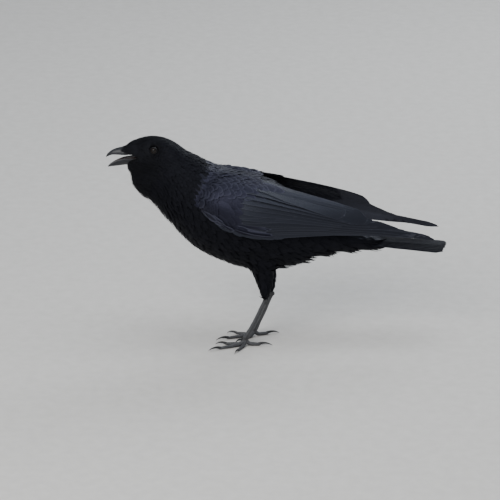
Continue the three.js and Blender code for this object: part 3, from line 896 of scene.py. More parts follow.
def skin_materials():
    """Dark down under the plumage, and the bare scaly skin of the legs."""
    down = Look("down", (0.004, 0.004, 0.005), 0.9, Specular_IOR_Level=0.1)
    fuzz = down.noise(900, 4.0)
    down.give("Base Color", down.ramp(fuzz, [(0.3, (0.003, 0.003, 0.0035)), (0.8, (0.007, 0.007, 0.009))]))
    down.bump(fuzz, 0.0006)
    bare = Look("bare_skin", (0.03, 0.031, 0.034), 0.55)
    cells = bare.node(
        "TexVoronoi", {"Scale": 900, "Vector": bare.object_place()}, feature="DISTANCE_TO_EDGE"
    )
    edge = bare.spread(cells.outputs["Distance"], 0.0, 1.0)
    grime = bare.noise(260, 4.0)
    bare.give("Base Color", bare.ramp(grime, [(0.3, (0.018, 0.018, 0.02)), (0.75, (0.05, 0.05, 0.053))]))
    bare.bump(bare.maths("MINIMUM", edge, 0.12), 0.0012)
    return [down.material, bare.material]


# ------------------------------------------------------------------ skin

body_vertices, body_quads, body_edges = remeshed(
    ["head", "neck", "trunk", "rump", "thigh_left", "thigh_right"], 1.9
)


def eye_distance(points):
    """Each point's distance from the middle of the nearer eye."""
    return np.linalg.norm(np.abs(points) - np.abs([EYE["x"], EYE["y"], EYE["z"]]), axis=1)


eye_gap = eye_distance(body_vertices)
front = smooth(-150, -125, body_vertices[:, 1])
body_rounds = np.where(body_vertices[:, 2] < 100, 4, 6 + 22 * front * smooth(7, 16, eye_gap))
body = Surface(relaxed(body_vertices, body_edges, body_rounds), body_quads)
wing_covers = [Surface(*arrays([f"wing_arm_{name}", f"wing_secondaries_{name}"])) for name in SIDES]
bill_surface = Surface(*arrays(["bill_upper", "bill_lower"]))


class Limb:
    """A round limb along a curve. size(t) gives its half sizes: sideways, above and below."""

    def __init__(self, points, size):
        self.size = size
        self.t = np.linspace(0, 1, 60)
        self.line = curve(points, self.t)
        ahead = unit(np.gradient(self.line, axis=0))
        flat = np.stack([-ahead[:, 1], ahead[:, 0], np.zeros(len(ahead))], 1)
        self.across = unit(flat)
        self.over = unit(np.cross(ahead, self.across))

    def at(self, t, angle, height=0.0):
        """Points at t along it, angle round it from its side over its top, and height above it."""
        t, angle, height = np.broadcast_arrays(t, angle, height)

        def along(values):
            flat = [np.interp(t.ravel(), self.t, column) for column in values.T]
            return np.stack(flat, -1).reshape(*t.shape, 3)

        side, above, below = self.size(t)
        tall = np.where(np.sin(angle) > 0, above, below) + height
        wide = side + height
        return (
            along(self.line)
            + along(self.across) * (np.cos(angle) * wide)[..., None]
            + along(self.over) * (np.sin(angle) * tall)[..., None]
        )

    def body(self, rows, around, floor=None):
        """A closed body along the limb, flattened at the height of the floor."""
        angle = np.linspace(0, 2 * math.pi, around, endpoint=False)[None]
        rings = self.at(np.linspace(0, 1, rows)[:, None], angle)
        if floor is not None:
            rings[..., 2] = np.maximum(rings[..., 2], floor)
        return tube(rings)


def tarsus_limb(name, side):
    leg = LEGS[name]
    ankle, foot = (np.array(leg[key]) * (side, 1, 1) for key in ("ankle", "foot"))
    down = foot - ankle

    def size(t):
        heel = 0.42 * np.exp(-(((t - 0.07) / 0.075) ** 2))
        foot_joint = 0.34 * np.exp(-(((t - 0.95) / 0.075) ** 2))
        swell = (1 + heel + foot_joint) * np.sqrt(np.clip(1 - (1 - t / 0.055).clip(0) ** 2, 0.0, 1))
        return 2.2 * swell, 2.75 * swell, 2.95 * swell

    points = [ankle - down * 0.07, ankle + down * 0.2, ankle + down * 0.52 + (0, 0.8, 0), foot + down * 0.03]
    return Limb(points, size)


def toe_limb(name, side, toe):
    leg, facts = LEGS[name], TOES[toe]
    turn = math.radians(leg["toes"][toe])
    ahead = np.array([side * math.sin(turn), -math.cos(turn), 0])
    foot = np.array(leg["foot"]) * (side, 1, 1)
    thick, length = facts["thick"], facts["length"]

    def at(distance, height):
        return foot * (1, 1, 0) + ahead * distance + (0, 0, height)

    def size(t):
        pad = 1 + 0.13 * np.cos(2 * math.pi * (t * facts["joints"] + 0.15))
        whole = thick * (1 - 0.3 * t) * np.sqrt(np.clip(1 - t**10, 0, 1))
        return whole * 0.86 * (0.5 + 0.5 * pad), whole * 0.84, whole * pad

    points = [
        at(0.0, foot[2] - 2.5), at(0.26 * length, thick * 0.86), at(0.6 * length, thick * 0.64),
        at(length, thick * 0.6),
    ]
    return Limb(points, size), ahead, at(length, 0)


def legs_and_feet():
    """The bare shanks and toes as one closed surface: vertices, quads and edges."""
    flesh = Solids()
    for name, side in SIDES.items():
        flesh.add(tarsus_limb(name, side).body(50, 24))
        for toe in TOES:
            flesh.add(toe_limb(name, side, toe)[0].body(40, 18, floor=0.0))
    return wrapped(*flesh.arrays(), 0.62)


def make_skin():
    """The whole bird's skin: the body's, a coat's depth inside the plumage, and the bare legs'."""
    vertices, quads, edges = remeshed([node for node in FLESH if not node.startswith(("tarsus", "toe"))], 1.7)
    gap = eye_distance(vertices)
    head = 1 - smooth(-150, -125, vertices[:, 1])
    shin = 1 - smooth(95, 110, vertices[:, 2])
    vertices = relaxed(vertices, edges, 4 + 26 * (1 - head) * (1 - shin) * smooth(7, 16, gap))
    normals = vertex_normals(vertices, quads)
    tree = BVHTree.FromPolygons(vertices.tolist(), quads.tolist())
    inner = vertices - normals * 0.05
    thick = [tree.ray_cast(p, n, THICKEST)[3] for p, n in zip(inner.tolist(), (-normals).tolist())]
    thick = np.array([found or THICKEST for found in thick])
    _, _, _, depth, _ = plumage_at(vertices)
    depth = np.minimum(depth, 0.36 * thick) * smooth(6, 10, gap) * (1 - 0.25 * parting_at(vertices))
    for _ in range(12):
        depth = depth * 0.5 + averaged(depth, edges, len(depth)) * 0.5
    vertices = relaxed(vertices - normals * depth[:, None], edges, 2)
    # Under the folded wings it lies deeper than the roots of their feathers.
    u, v, height, out = wing_place(vertices)
    faces_out = smooth(-0.1, 0.4, (vertex_normals(vertices, quads) * out).sum(1))
    near = (u > 0.01) & (u < 0.75) & (height > -9) & (height < 4)
    low = (1 - smooth(0.12, 0.2, v)) * smooth(0.25, 0.32, u)
    faces_out = np.maximum(faces_out, low)
    sink = np.where(near, (height + SKIN_UNDER_WING + 0.8 * low).clip(0), 0.0) * faces_out
    most = thick * (0.6 + 0.3 * (1 - smooth(0.08, 0.2, v))) + 9 * low
    vertices = relaxed(vertices - out * np.minimum(sink, most)[:, None], edges, 1)
    # At the bill it goes in under the horn.
    at_bill = np.flatnonzero(vertices[:, 1] < -147)
    horn, horn_out = bill_surface.nearest(vertices[at_bill])
    off = vertices[at_bill] - horn
    gap = np.linalg.norm(off, axis=1)
    tucked = ((off * horn_out).sum(1) > -0.6) & (gap < 3.2)
    share = (tucked * (1 - smooth(-151, -147, vertices[at_bill, 1])))[:, None]
    vertices[at_bill] += (horn - horn_out * 0.7 - vertices[at_bill]) * share
    legs, leg_quads, leg_edges = legs_and_feet()
    legs = relaxed(legs, leg_edges, 2)
    legs[:, 2] = np.maximum(legs[:, 2], 0.0)
    whole = Solids()
    for stuff, (points, faces) in enumerate(((vertices, quads), (legs, leg_quads))):
        whole.add((points, faces.ravel(), np.full(len(faces), 4)), stuff=stuff)
    whole.piece("skin", skin_materials(), "plumage", FLESH, sharp=180)


make_skin()

# ------------------------------------------------------------------ bill, mouth and tongue


def horn_material(name, dark, light, roughness, grain):
    """Horn with fine growth lines along it and a worn, uneven sheen."""
    look = Look(name, dark, roughness, Specular_IOR_Level=0.36)
    place = look.node("Mapping", {"Scale": grain, "Vector": look.object_place()})
    lines = look.noise(1.0, 4.0, place.outputs["Vector"])
    worn = look.noise(170, 5.0)
    tone = look.maths("MULTIPLY_ADD", worn, 0.6, look.maths("MULTIPLY", lines, 0.4))
    look.give("Base Color", look.ramp(tone, [(0.32, dark), (0.68, light)]))
    look.give("Roughness", look.spread(worn, roughness - 0.1, roughness + 0.14))
    look.bump(lines, 0.00012)
    return look.material


def flesh_material(name, dark, light, roughness, scale):
    """Moist flesh, unevenly coloured."""
    look = Look(name, dark, roughness, Specular_IOR_Level=0.5)
    look.give("Base Color", look.ramp(look.noise(scale, 4.0), [(0.35, dark), (0.7, light)]))
    look.bump(look.noise(scale * 4, 2.0), 0.00008)
    return look.material


bill_horn = horn_material("bill_horn", (0.008, 0.0088, 0.011), (0.017, 0.0185, 0.023), 0.36, (900, 90, 900))
# The horn of the cutting edges is painted paler: a painted highlight along them.
edge_highlight_horn = horn_material("bill_edge", (0.022, 0.023, 0.027), (0.042, 0.043, 0.048), 0.4, (900, 90, 900))
mouth_flesh = flesh_material("mouth", (0.020, 0.012, 0.012), (0.028, 0.017, 0.017), 0.4, 300)
tongue_flesh = flesh_material("tongue", (0.035, 0.024, 0.024), (0.045, 0.030, 0.030), 0.42, 300)


def bill_rings(stations, rows, upper):
    """Rings of one half of the bill from its tip: an outer arc, two edges and a hollow inner face."""
    t = np.linspace(0, 1, rows) ** 1.35
    y, z, width, up, down = curve(np.array(list(stations.values()), float), t).T
    # The tip is rounded off over its first millimetre and a half.
    blunt = np.sqrt(np.clip(1 - (1 - (y - y[0]) / 1.5).clip(0) ** 2, 0.02, 1))
    width, up, down = width * blunt, up * blunt, down * blunt
    over, under = (up, down) if upper else (down, up)
    way = 1 if upper else -1
    angle = np.linspace(0, math.pi, BILL_ARC)
    round_ = 2 / 1.7
    arc_x = np.sign(np.cos(angle)) * np.abs(np.cos(angle)) ** round_
    arc_z = np.abs(np.sin(angle)) ** round_
    x = width[:, None] * arc_x
    high = over[:, None] * arc_z
    # The cutting edge is narrow, and the inner face is hollow within it.
    wall = np.minimum(TROUGH["wall"], width * 0.4)
    depth = TROUGH["deepest"] * np.minimum(1, over / TROUGH["depth"]) * (0.55 if upper else 1.0)
    s = np.linspace(-1, 1, BILL_TROUGH)
    inner_x = (width - wall)[:, None] * s
    ridge = 0.25 * np.exp(-((s / 0.16) ** 2)) if upper else 0.0
    hollow = 0.2 + 0.8 * (width[:, None] > 1.5)
    inner = -under[:, None] + (depth[:, None] * ((1 - s**2) ** 0.7 - ridge)) * hollow
    edge = np.array([(-1.0, -0.75), (-0.96, -1.0)])
    left_x, left_z = width[:, None] * edge[:, 0], under[:, None] * edge[:, 1]
    ring_x = np.concatenate([x, left_x, inner_x, -left_x[:, ::-1]], 1)
    ring_z = np.concatenate([high, left_z, inner, left_z[:, ::-1]], 1)
    return np.stack([ring_x, np.repeat(y[:, None], ring_x.shape[1], 1), z[:, None] + way * ring_z], -1)


def make_bill():
    for name, stations in (("upper", UPPER_BILL), ("lower", LOWER_BILL)):
        rings = bill_rings(stations, 64, name == "upper")
        # Horn outside, painted paler along both cutting edges as a highlight, and flesh in the hollow between
        # them.
        stuff = np.where(np.arange(rings.shape[1]) < BILL_ARC - 1, 0, 1)
        stuff[BILL_ARC + 2 : BILL_ARC + BILL_TROUGH + 1] = 2
        solid(
            f"bill_{name}_horn", tube(rings), [bill_horn, edge_highlight_horn, mouth_flesh], "bill", [f"bill_{name}"],
            sharp=45, stuff=np.concatenate([np.tile(stuff, len(rings) - 1), [0, 0]]),
        )


def make_tongue():
    t = np.linspace(0, 1, 30)
    y, z, width, tall = curve(np.array(TONGUE, float), t).T
    angle = np.linspace(0, 2 * math.pi, 24, endpoint=False)
    x = width[:, None] * np.cos(angle)
    high = tall[:, None] * np.sin(angle)
    # A shallow groove runs down its middle.
    high -= (0.45 * tall)[:, None] * np.exp(-((x / (0.3 * width[:, None])) ** 2)) * (np.sin(angle) > 0)
    rings = np.stack([x, np.repeat(y[:, None], 24, 1), z[:, None] + high], -1)
    solid("tongue_flesh", tube(rings), [tongue_flesh], "mouth", ["tongue"])


def make_mouth_lining():
    """The web of skin at the back of the mouth, a horseshoe between the two halves of the bill."""
    s = np.linspace(-1, 1, 49)[:, None]
    h = np.linspace(0, 1, 13)[None]
    front = GAPE["y"] - 12 + 11.3 * np.sin(math.pi * h) ** 0.55
    back = GAPE["y"] + 0.9
    along = 1 - np.abs(s) ** 1.5
    y = front + (back - front) * along
    bend = np.clip((y - (GAPE["y"] - 4)) / 4.9, 0, 1)
    x = np.sign(s) * 8.6 * (1 - bend**2.2) ** (1 / 2.2)
    x = x * np.clip(np.abs(s) / 0.12, 0, 1) ** 0.5
    stations, roof, floor = np.transpose(MOUTH_LINING)
    top, low = np.interp(y, stations, roof), np.interp(y, stations, floor)
    inner = np.stack(np.broadcast_arrays(x, y, top + (low - top) * h), -1)
    out = unit(np.stack([x, np.clip(y - (GAPE["y"] - 8), 0.5, None), np.zeros_like(x)], -1))
    solid("mouth_lining", slab(inner, inner + out * 0.7), [mouth_flesh], "mouth")


make_bill()
make_tongue()
make_mouth_lining()

# ------------------------------------------------------------------ eyes

EYE_WAY = (1.0, -0.2, 0.12)  # the way the left eye looks
PUPIL, IRIS = 1.9, 3.7  # radii
EYE_AROUND = 56  # points round the eyeball


def eye_frame(side):
    """The eye's middle and three unit ways: out of it, back along the head, and up."""
    out = unit(np.array(EYE_WAY) * (side, 1, 1))
    back = unit(np.cross(np.array([0, 0, 1.0]), out)) * side
    up = unit(np.cross(out, back)) * side
    return np.array([side * EYE["x"], EYE["y"], EYE["z"]]), out, back, up


def on_eye(side, polar, angle, radius):
    """Points at that angle from the eye's axis, and angle round it from behind over the top."""
    middle, out, back, up = eye_frame(side)
    polar, angle, radius = np.broadcast_arrays(polar, angle, radius)
    around = np.cos(angle)[..., None] * back + np.sin(angle)[..., None] * up
    way = np.cos(polar)[..., None] * out + np.sin(polar)[..., None] * around
    return middle + radius[..., None] * way


def eye_materials():
    """Pupil, iris and white of the eye, and its lids."""
    pupil = Look("pupil", (0.0008, 0.0008, 0.0008), 0.06, Specular_IOR_Level=0.28)
    iris = Look("iris", (0.006, 0.003, 0.002), 0.08, Specular_IOR_Level=0.28)
    threads = [(0.3, (0.004, 0.002, 0.0013)), (0.75, (0.013, 0.0065, 0.004))]
    iris.give("Base Color", iris.ramp(iris.noise(1400, 3.0), threads))
    white = Look("eye_white", (0.003, 0.0025, 0.0025), 0.12, Specular_IOR_Level=0.28)
    lid = Look("eyelid", (0.006, 0.006, 0.007), 0.6, Specular_IOR_Level=0.3)
    lid.bump(lid.noise(1500, 2.0), 0.0002)
    return [look.material for look in (pupil, iris, white, lid)]


def make_eyes():
    *ball_stuff, lid = eye_materials()
    radius = EYE["radius"]
    limits = [math.asin(PUPIL / radius), math.asin(IRIS / radius), math.radians(176)]
    polar = np.concatenate([
        np.linspace(0.02, limits[0], 6), np.linspace(limits[0], limits[1], 7)[1:],
        np.linspace(limits[1], limits[2], 22)[1:],
    ])
    angle = np.linspace(0, 2 * math.pi, EYE_AROUND, endpoint=False)
    bulge = 0.35 * (1 - smooth(0.0, limits[1] * 1.15, polar))
    stuff = np.repeat(np.searchsorted(limits[:2], polar[:-1] + 1e-6), EYE_AROUND)
    # The lids are a low fold round an opening a little longer than it is high.
    turn = np.linspace(0, 2 * math.pi, 72, endpoint=False)[:, None]
    opening = np.radians(43 + 7 * np.cos(turn) ** 2 + 4 * np.cos(turn) ** 8)
    opening = opening - np.radians(4) * smooth(0.2, 0.95, np.sin(turn))
    over, raised = np.transpose(EYELID_FOLDS)[:, None]
    for name, side in SIDES.items():
        rings = on_eye(side, polar[:, None], angle[None], (radius + bulge - 0.8)[:, None])
        solid(
            f"eyeball_{name}", tube(rings), ball_stuff, "eyes", [f"eye_{name}"], sharp=60,
            stuff=np.concatenate([stuff, [0, 2]]),
        )
        ring = on_eye(side, opening + over * 0.85, turn, radius + raised - 0.5)
        solid(f"eyelids_{name}", hoop(ring), [lid], "eyes", sharp=70)


make_eyes()

# ------------------------------------------------------------------ scutes and claws


PLATE = {"thick": 0.3, "sunk": 0.35}


def plate_on(limb, low, high, middle, reach, rise, rows, columns):
    """A curved plate on a limb from low to high along it, its far edge lifted over the next."""
    t = np.linspace(low, high, rows)[:, None]
    s = np.linspace(-1, 1, columns)[None]
    part = (t - low) / (high - low)
    edge = 1 - 0.55 * np.abs(s) ** 4
    height = (mix(*rise, part**0.8) + 0.14 * np.sin(math.pi * part)) * edge
    t = t + (high - low) * 0.16 * (1 - s**2) * (part - 0.2)
    top = limb.at(t, middle + reach * s, height)
    bottom = limb.at(t, middle + reach * s, np.minimum(height - PLATE["thick"], -PLATE["sunk"]))
    return slab(top, bottom)


def add_scutes(scales, limb, ends, overlap, reach, rise, grid, places):
    """A row of scutes over the front of a limb between these ends, each lying over the next."""
    for low, high, place in zip(ends[:-1], ends[1:], places):
        step = high - low
        ends_of_plate = low - overlap * step, high + 0.10 * step
        plate = plate_on(limb, *ends_of_plate, math.pi / 2, math.radians(reach), (0.0, rise), *grid)
        scales.add(plate, place)


def make_scales(name, side):
    scales = Solids()
    shank = tarsus_limb(name, side)
    places = [(0.15, 0.05 + 0.09 * k) for k in range(9)]
    add_scutes(scales, shank, np.linspace(0.13, 0.95, 10), 0.10, 84, 0.5, (7, 13), places)
    for k, middle in enumerate((-55, -125)):
        body = plate_on(shank, 0.2, 0.93, math.radians(middle), math.radians(38), (0.06, 0.12), 30, 9)
        scales.add(body, (0.3 + 0.08 * k, 0.5))
    for column, (toe, facts) in enumerate(TOES.items()):
        limb, _, _ = toe_limb(name, side, toe)
        count = facts["scutes"]
        places = [(0.5 + 0.12 * column, 0.05 + 0.9 * k / count) for k in range(count)]
        add_scutes(scales, limb, np.linspace(0.07, 0.97, count + 1), 0.08, 96, 0.32, (6, 11), places)
    scales.piece(f"scales_{name}", [scute_horn], "legs", sharp=40, coat=True)


def make_claws(name, side):
    claws = Solids()
    for toe, facts in TOES.items():
        _, ahead, end = toe_limb(name, side, toe)
        reach, thick = facts["claw"], facts["thick"]
        t = np.linspace(0, 1, 26)
        bends = ((-0.28, thick * 0.72), (0.5, thick * 1.85), (1, 0.5))
        points = [end + ahead * reach * at + (0, 0, z) for at, z in bends]
        line = sum(w[:, None] * p for w, p in zip(((1 - t) ** 2, 2 * t * (1 - t), t**2), points))

        def size(t, thick=thick):
            whole = thick * 0.64 * (1 - 0.92 * t**1.3)
            return whole * 0.72, whole, whole * 0.9

        claws.add(Limb(line, size).body(28, 18, floor=0.05))
    claws.piece(f"claws_{name}", [claw_horn], "claws", [f"claw_{toe}_{name}" for toe in TOES])


scute_horn = horn_material("scutes", (0.036, 0.037, 0.041), (0.082, 0.083, 0.088), 0.42, (500, 500, 500))
claw_horn = horn_material("claw_horn", (0.012, 0.012, 0.013), (0.026, 0.026, 0.028), 0.32, (700, 700, 700))
for name, side in SIDES.items():
    make_scales(name, side)
    make_claws(name, side)

# ------------------------------------------------------------------ body plumage


def make_bristles():
    """Narrow stiff feathers that lie forward from the face over the base of the upper bill."""
    face = smooth_surface(["head", "bill_upper"], 0.9, 3)
    front, foremost = BRISTLES["behind"], BRISTLES["foremost"]

    def spacing_at(points):
        inside = (points[:, 1] < front + 4) & (points[:, 1] > foremost) & (points[:, 2] > 262.5)
        return np.where(inside, BRISTLES["spacing"], np.inf)

    roots, normals = face.nearest(scatter(face, spacing_at, SEED + 5))
    rng = np.random.default_rng(SEED + 6)
    ahead = GAPE["y"] - roots[:, 1]
    edge = front + rng.uniform(-2.0, 3.5, len(roots)) - 2.5 * smooth(273, 278, roots[:, 2])
    keep = (roots[:, 1] < edge) & (roots[:, 1] > foremost) & (roots[:, 2] > 265.6 + 0.14 * ahead)
    roots, normals = roots[keep], normals[keep]
    count = len(roots)
    turned = parting_at(roots)[:, None]
    ways = np.tile([0.0, -1.0, -0.12], (count, 1)) + rng.normal(0, 0.09, (count, 3))
    ways = ways * (1 - 0.75 * turned) + np.array([0, 0, -0.8]) * turned
    ways[:, 0] -= 0.25 * np.sign(roots[:, 0]) * smooth(2, 8, np.abs(roots[:, 0]))
    length = BRISTLES["length"] * rng.normal(1, 0.12, count)
    # They reach farthest over the nostrils, and less over the ridge and the edge of the bill.
    limit = BRISTLES["ahead"] + 5.0 * smooth(270, 277, roots[:, 2])
    limit += 4.5 * (1 - smooth(263.5, 268, roots[:, 2]))
    length = np.clip(np.minimum(length, roots[:, 1] - limit - rng.normal(0, 1.5, count)), 3.0, None)
    points, out = face.run(roots, ways, length, 7)
    sunk = 0.35 + 0.2 * smooth(0, 5, front - roots[:, 1])
    sunk += 0.45 * smooth(271, 275, roots[:, 2]) * smooth(-8, 0, roots[:, 1] - front)
    line = laid(points, out, sunk, 0.4 + 0.3 * rng.random(count))
    places = on_map(np.stack([roots[:, 0], roots[:, 1] + roots[:, 2]], 1))
    vanes = Vanes()
    vanes.add(
        line, out, BRISTLES["width"] / 2, places, seed=SEED + 7, base=0.85, widest=0.3, taper=0.85,
        rounding=0.1, ragged=0.08, camber=0.3, columns=3, gloss=0.3,
    )
    vanes.piece("coat_bristles", velvet)


make_bristles()


# The outlines of the body's close feathers, and of the loose ones of throat, vent and thighs.
CLOSE = {"base": 0.4, "widest": 0.5, "taper": 0.25, "ragged": 0.025}
LOOSE = {"base": 0.5, "widest": 0.35, "taper": 0.72, "ragged": 0.09}


def room_for(roots, normals):
    """Whether a body feather may grow at each root: none in the mouth, on the bill or in the eyes."""
    ahead = GAPE["y"] - roots[:, 1]
    above = 261.7 + GAPE["above"] * ahead
    below = np.minimum(260.3 - GAPE["below"] * ahead, 264.2 - 0.7 * ahead)
    in_mouth = (ahead > 0) & (roots[:, 2] < above) & (roots[:, 2] > below)
    off_gape = np.abs(roots[:, 2] - GAPE["z"]) < 4 + 0.2 * ahead
    in_mouth |= (ahead > -2.5) & off_gape & (np.abs(normals[:, 2]) > 0.5) & (np.abs(roots[:, 0]) < 12.5)
    farther = 3.5 * smooth(270, 275, roots[:, 2])
    bristled = (roots[:, 1] < BRISTLES["behind"] - 1.5 - farther) & (roots[:, 2] > 262)
    room = ~in_mouth & ~bristled & (bill_surface.distance(roots) > 0.5)
    room &= (eye_distance(roots) > 6.1) & (roots[:, 2] > 62)
    # Nor where the folded wing lies over them on every side.
    for cover in wing_covers:
        hidden = np.ones(len(roots), bool)
        for step in UNDER_WING["steps"]:
            hidden &= cover.covers(roots + step, normals, UNDER_WING["reach"])
        room &= ~hidden
    return room


def make_body_plumage():
    roots = scatter(body, lambda points: plumage_at(points)[0], SEED)
    roots, normals = body.nearest(roots)
    room = room_for(roots, normals)
    roots, normals = roots[room], normals[room]
    reach, angle, _ = beside_spine(roots)
    _, length, width, depth, lift = plumage_at(roots)
    rng = np.random.default_rng(SEED + 1)
    ways = lie_at(roots, normals)
    ways = unit(ways + rng.normal(0, 0.055, ways.shape))
    gap = eye_distance(roots)
    length = np.minimum(length * rng.normal(1, 0.06, len(roots)), np.maximum(2.6, 0.9 * (gap - 5.2)))
    lift = lift * rng.normal(1, 0.45, len(roots)) + 0.3 * (1 - smooth(6.5, 9.5, gap))
    depth = depth * smooth(5.0, 9.5, gap)
    # Beside the bill their roots go down to the horn.
    to_bill = bill_surface.distance(roots)
    depth = np.maximum(depth, np.where(to_bill < 2.6, to_bill + 0.3, 0.0))
    parting = smooth(261, 264, roots[:, 2]) * (1 - smooth(-1.0, 5.0, roots[:, 1] - BRISTLES["behind"]))
    depth = depth * (1 - 0.45 * parting)
    length = length * (1 - 0.35 * parting)
    throat = smooth(30, 50, reach) * (1 - smooth(95, 120, reach)) * smooth(0.1, 0.6, -np.sin(angle))
    vent = smooth(232, 262, reach) * smooth(0.2, 0.7, -np.sin(angle))
    thigh, _ = thigh_share(roots)
    shin = thigh * (1 - smooth(72, 100, roots[:, 2]))
    length = length + 4.0 * shin
    lift = lift + 1.6 * shin
    # The vent's feathers hang in tufts.
    tufts = 3.0 + 2.6 * np.cos(2 * math.pi * (roots[:, 1] - 50) / 29)
    droop = vent * tufts + throat
    # The coat is parted unevenly, so that no line shows between its materials.
    mingled = reach + rng.normal(0, 4, len(roots))
    above = np.sin(angle) + rng.normal(0, 0.08, len(roots)) > 0.2 + 0.5 * smooth(195, 230, reach)
    head, over, under = (COAT_ENDS[part] for part in ("head", "neck_over", "neck_under"))
    coats = {
        "coat_head": (velvet, 5, mingled < head),
        "coat_neck": (contour, 6, (mingled >= head) & (mingled < np.where(above, over, under))),
        "coat_body": (contour, 7, (mingled >= under) & ~above),
        "coat_back": (sheeny, 7, (mingled >= over) & above),
    }
    loose = np.maximum(np.maximum(throat, vent), thigh * 0.7) >= 0.5
    rounding = np.where(loose, 0.12, np.clip(0.5 * width / length, 0.07, 0.24))
    for name, (material, rows, chosen) in coats.items():
        vanes = Vanes()
        places = np.zeros((len(roots), 2))
        places[chosen] = on_map(np.stack([reach[chosen], angle[chosen]], 1))
        for shape, mask in ((CLOSE, ~loose), (LOOSE, loose)):
            index = np.flatnonzero(chosen & mask)
            if not len(index):
                continue
            points, out = body.run(roots[index], ways[index], length[index], rows)
            vanes.add(
                laid(points, out, depth[index], lift[index], droop[index]), out, width[index] / 2,
                places[index], seed=SEED + 2, camber=0.11,
                columns=5 if rows > 6 else 3, gloss=0.4, rounding=rounding[index], **shape,
            )
        vanes.piece(name, material)


make_body_plumage()

# ------------------------------------------------------------------ wings


class WingVanes(Vanes):
    """Feathers over the folded wing of one side."""

    def __init__(self, side, seed):
        super().__init__()
        self.side = side
        self.rng = np.random.default_rng(seed + side)

    def lay(self, u, v, half, height, tilt, **shape):
        """Vanes along lines (count, rows) of the wing's surface, at height over it."""
        line, normal = wing_at(u, v, height)
        over = unit(wing_at(u, v + 0.02)[0] - wing_at(u, v - 0.02)[0])
        # Along its lower edge the wing rolls under.
        below = (0.05 - v).clip(0, 0.15) * chord_at(u) * (u < 0.5)
        line = line - normal * (below**2 / 6)[..., None]
        normal = unit(normal - over * (below / 3)[..., None])
        mirror = np.array([self.side, 1, 1])
        places = np.clip(np.stack([u[:, 0], v[:, 0]], 1), 0, 1) * 0.94 + 0.03
        seed = int(self.rng.integers(1 << 30))
        self.add(line * mirror, normal * mirror, half, places, seed=seed, tilt=tilt * self.side, **shape)

    def row(
        self, start, low, high, length, width, depth, top, *, spacing=30, slant=0.0, phase=0.0,
        turn=0.0, rows=8, tilt=0.07, **shape,
    ):
        """One row of feathers across the wing, from v = low to high; slant * v moves their roots back.

        Their roots lie depth under the surface and their tips top over it. turn is how far they
        point down from straight back, in radians.
        """
        rng = self.rng
        chord = chord_at(start + slant * (low + high) / 2)
        v = np.arange(low + phase * spacing / chord, high, spacing / chord)
        count = len(v)
        v = v + rng.normal(0, 0.05 * spacing / chord, count)
        u = start + slant * v + rng.normal(0, 0.0012, count)
        lengths = length * rng.normal(1, 0.04, count)
        t = np.linspace(0, 1, rows)
        turns = turn + rng.normal(0, 0.03, (count, 1))
        path_u = u[:, None] + lengths[:, None] * np.cos(turns) / WING_LENGTH * t
        fall = lengths[:, None] * np.sin(turns) / np.maximum(chord_at(path_u), 20)
        path_v = v[:, None] - np.cumsum(fall * np.gradient(t), axis=1)
        height = top - depth * (1 - t) ** 1.1 + rng.normal(0, 0.05, (count, 1)) * t
        self.lay(path_u, path_v, width / 2, height, tilt, **shape)


STIFF = {"rounding": 0.1, "rows": 12, "columns": 7, "tilt": 0.12}


def make_coverts(name, side):
    vanes = WingVanes(side, SEED + 10)
    # Lesser coverts: small soft scallops over the bend of the wing, the foremost rows with a strong painted
    # highlight on their rims.
    u, step, row = -0.014, 3.6, 0
    while u < 0.155:
        spacing = step * 1.45
        vanes.row(
            u, 0.0, 0.68, step * 3.6, spacing * 1.45, 1.7, -0.7, spacing=spacing, slant=0.03,
            phase=0.5 * (row % 2), turn=0.12, gloss=0.14 + 0.9 * (u < 0.022), rounding=0.24, columns=7,
        )
        u += step / WING_LENGTH
        step *= 1.035
        row += 1
    # Median coverts, then the long greater coverts over the roots of the flight feathers.
    for row, start in enumerate((0.158, 0.183, 0.207)):
        vanes.row(
            start, 0.02, 0.76, 34, 13.5, 2.0, -0.7 - 0.15 * row, spacing=9.0, slant=0.045,
            phase=0.5 * (row % 2), turn=0.10, gloss=0.18, rounding=0.2, columns=7,
        )
    vanes.row(
        0.235, 0.10, 0.9, 58, 13, 2.4, -1.1, spacing=8.0, slant=0.05, phase=0.2, turn=0.05,
        gloss=0.25, rounding=0.12, rows=12, columns=7,
    )
    # Small feathers wrap the lower edge.
    for row in range(20):
        vanes.row(
            0.02 + 0.017 * row, -0.03, 0.10, 24, 7.5, 1.2, -1.2, spacing=4.5, phase=0.5 * (row % 2),
            gloss=0.12, rounding=0.2,
        )
    # The alula and the stiff primary coverts lie along the lower edge with rims painted pale as highlights.
    for k, (start, low, length, width) in enumerate(
        [(0.085, 0.030, 40, 9), (0.115, 0.035, 46, 10), (0.14, 0.03, 52, 10), (0.15, 0.08, 40, 9)]
    ):
        vanes.row(start, low, low + 0.01, length, width, 1.6, 0.1 - 0.15 * k, gloss=1.3, taper=0.5, **STIFF)
    for k in range(7):
        vanes.row(
            0.215 + 0.009 * k, 0.02 + 0.034 * k, 0.03 + 0.034 * k, 74 - 4 * k, 10.5, 2.0,
            -0.7 - 0.06 * k, gloss=1.2, taper=0.42, **STIFF,
        )
    vanes.piece(f"coat_wing_{name}", glossy)


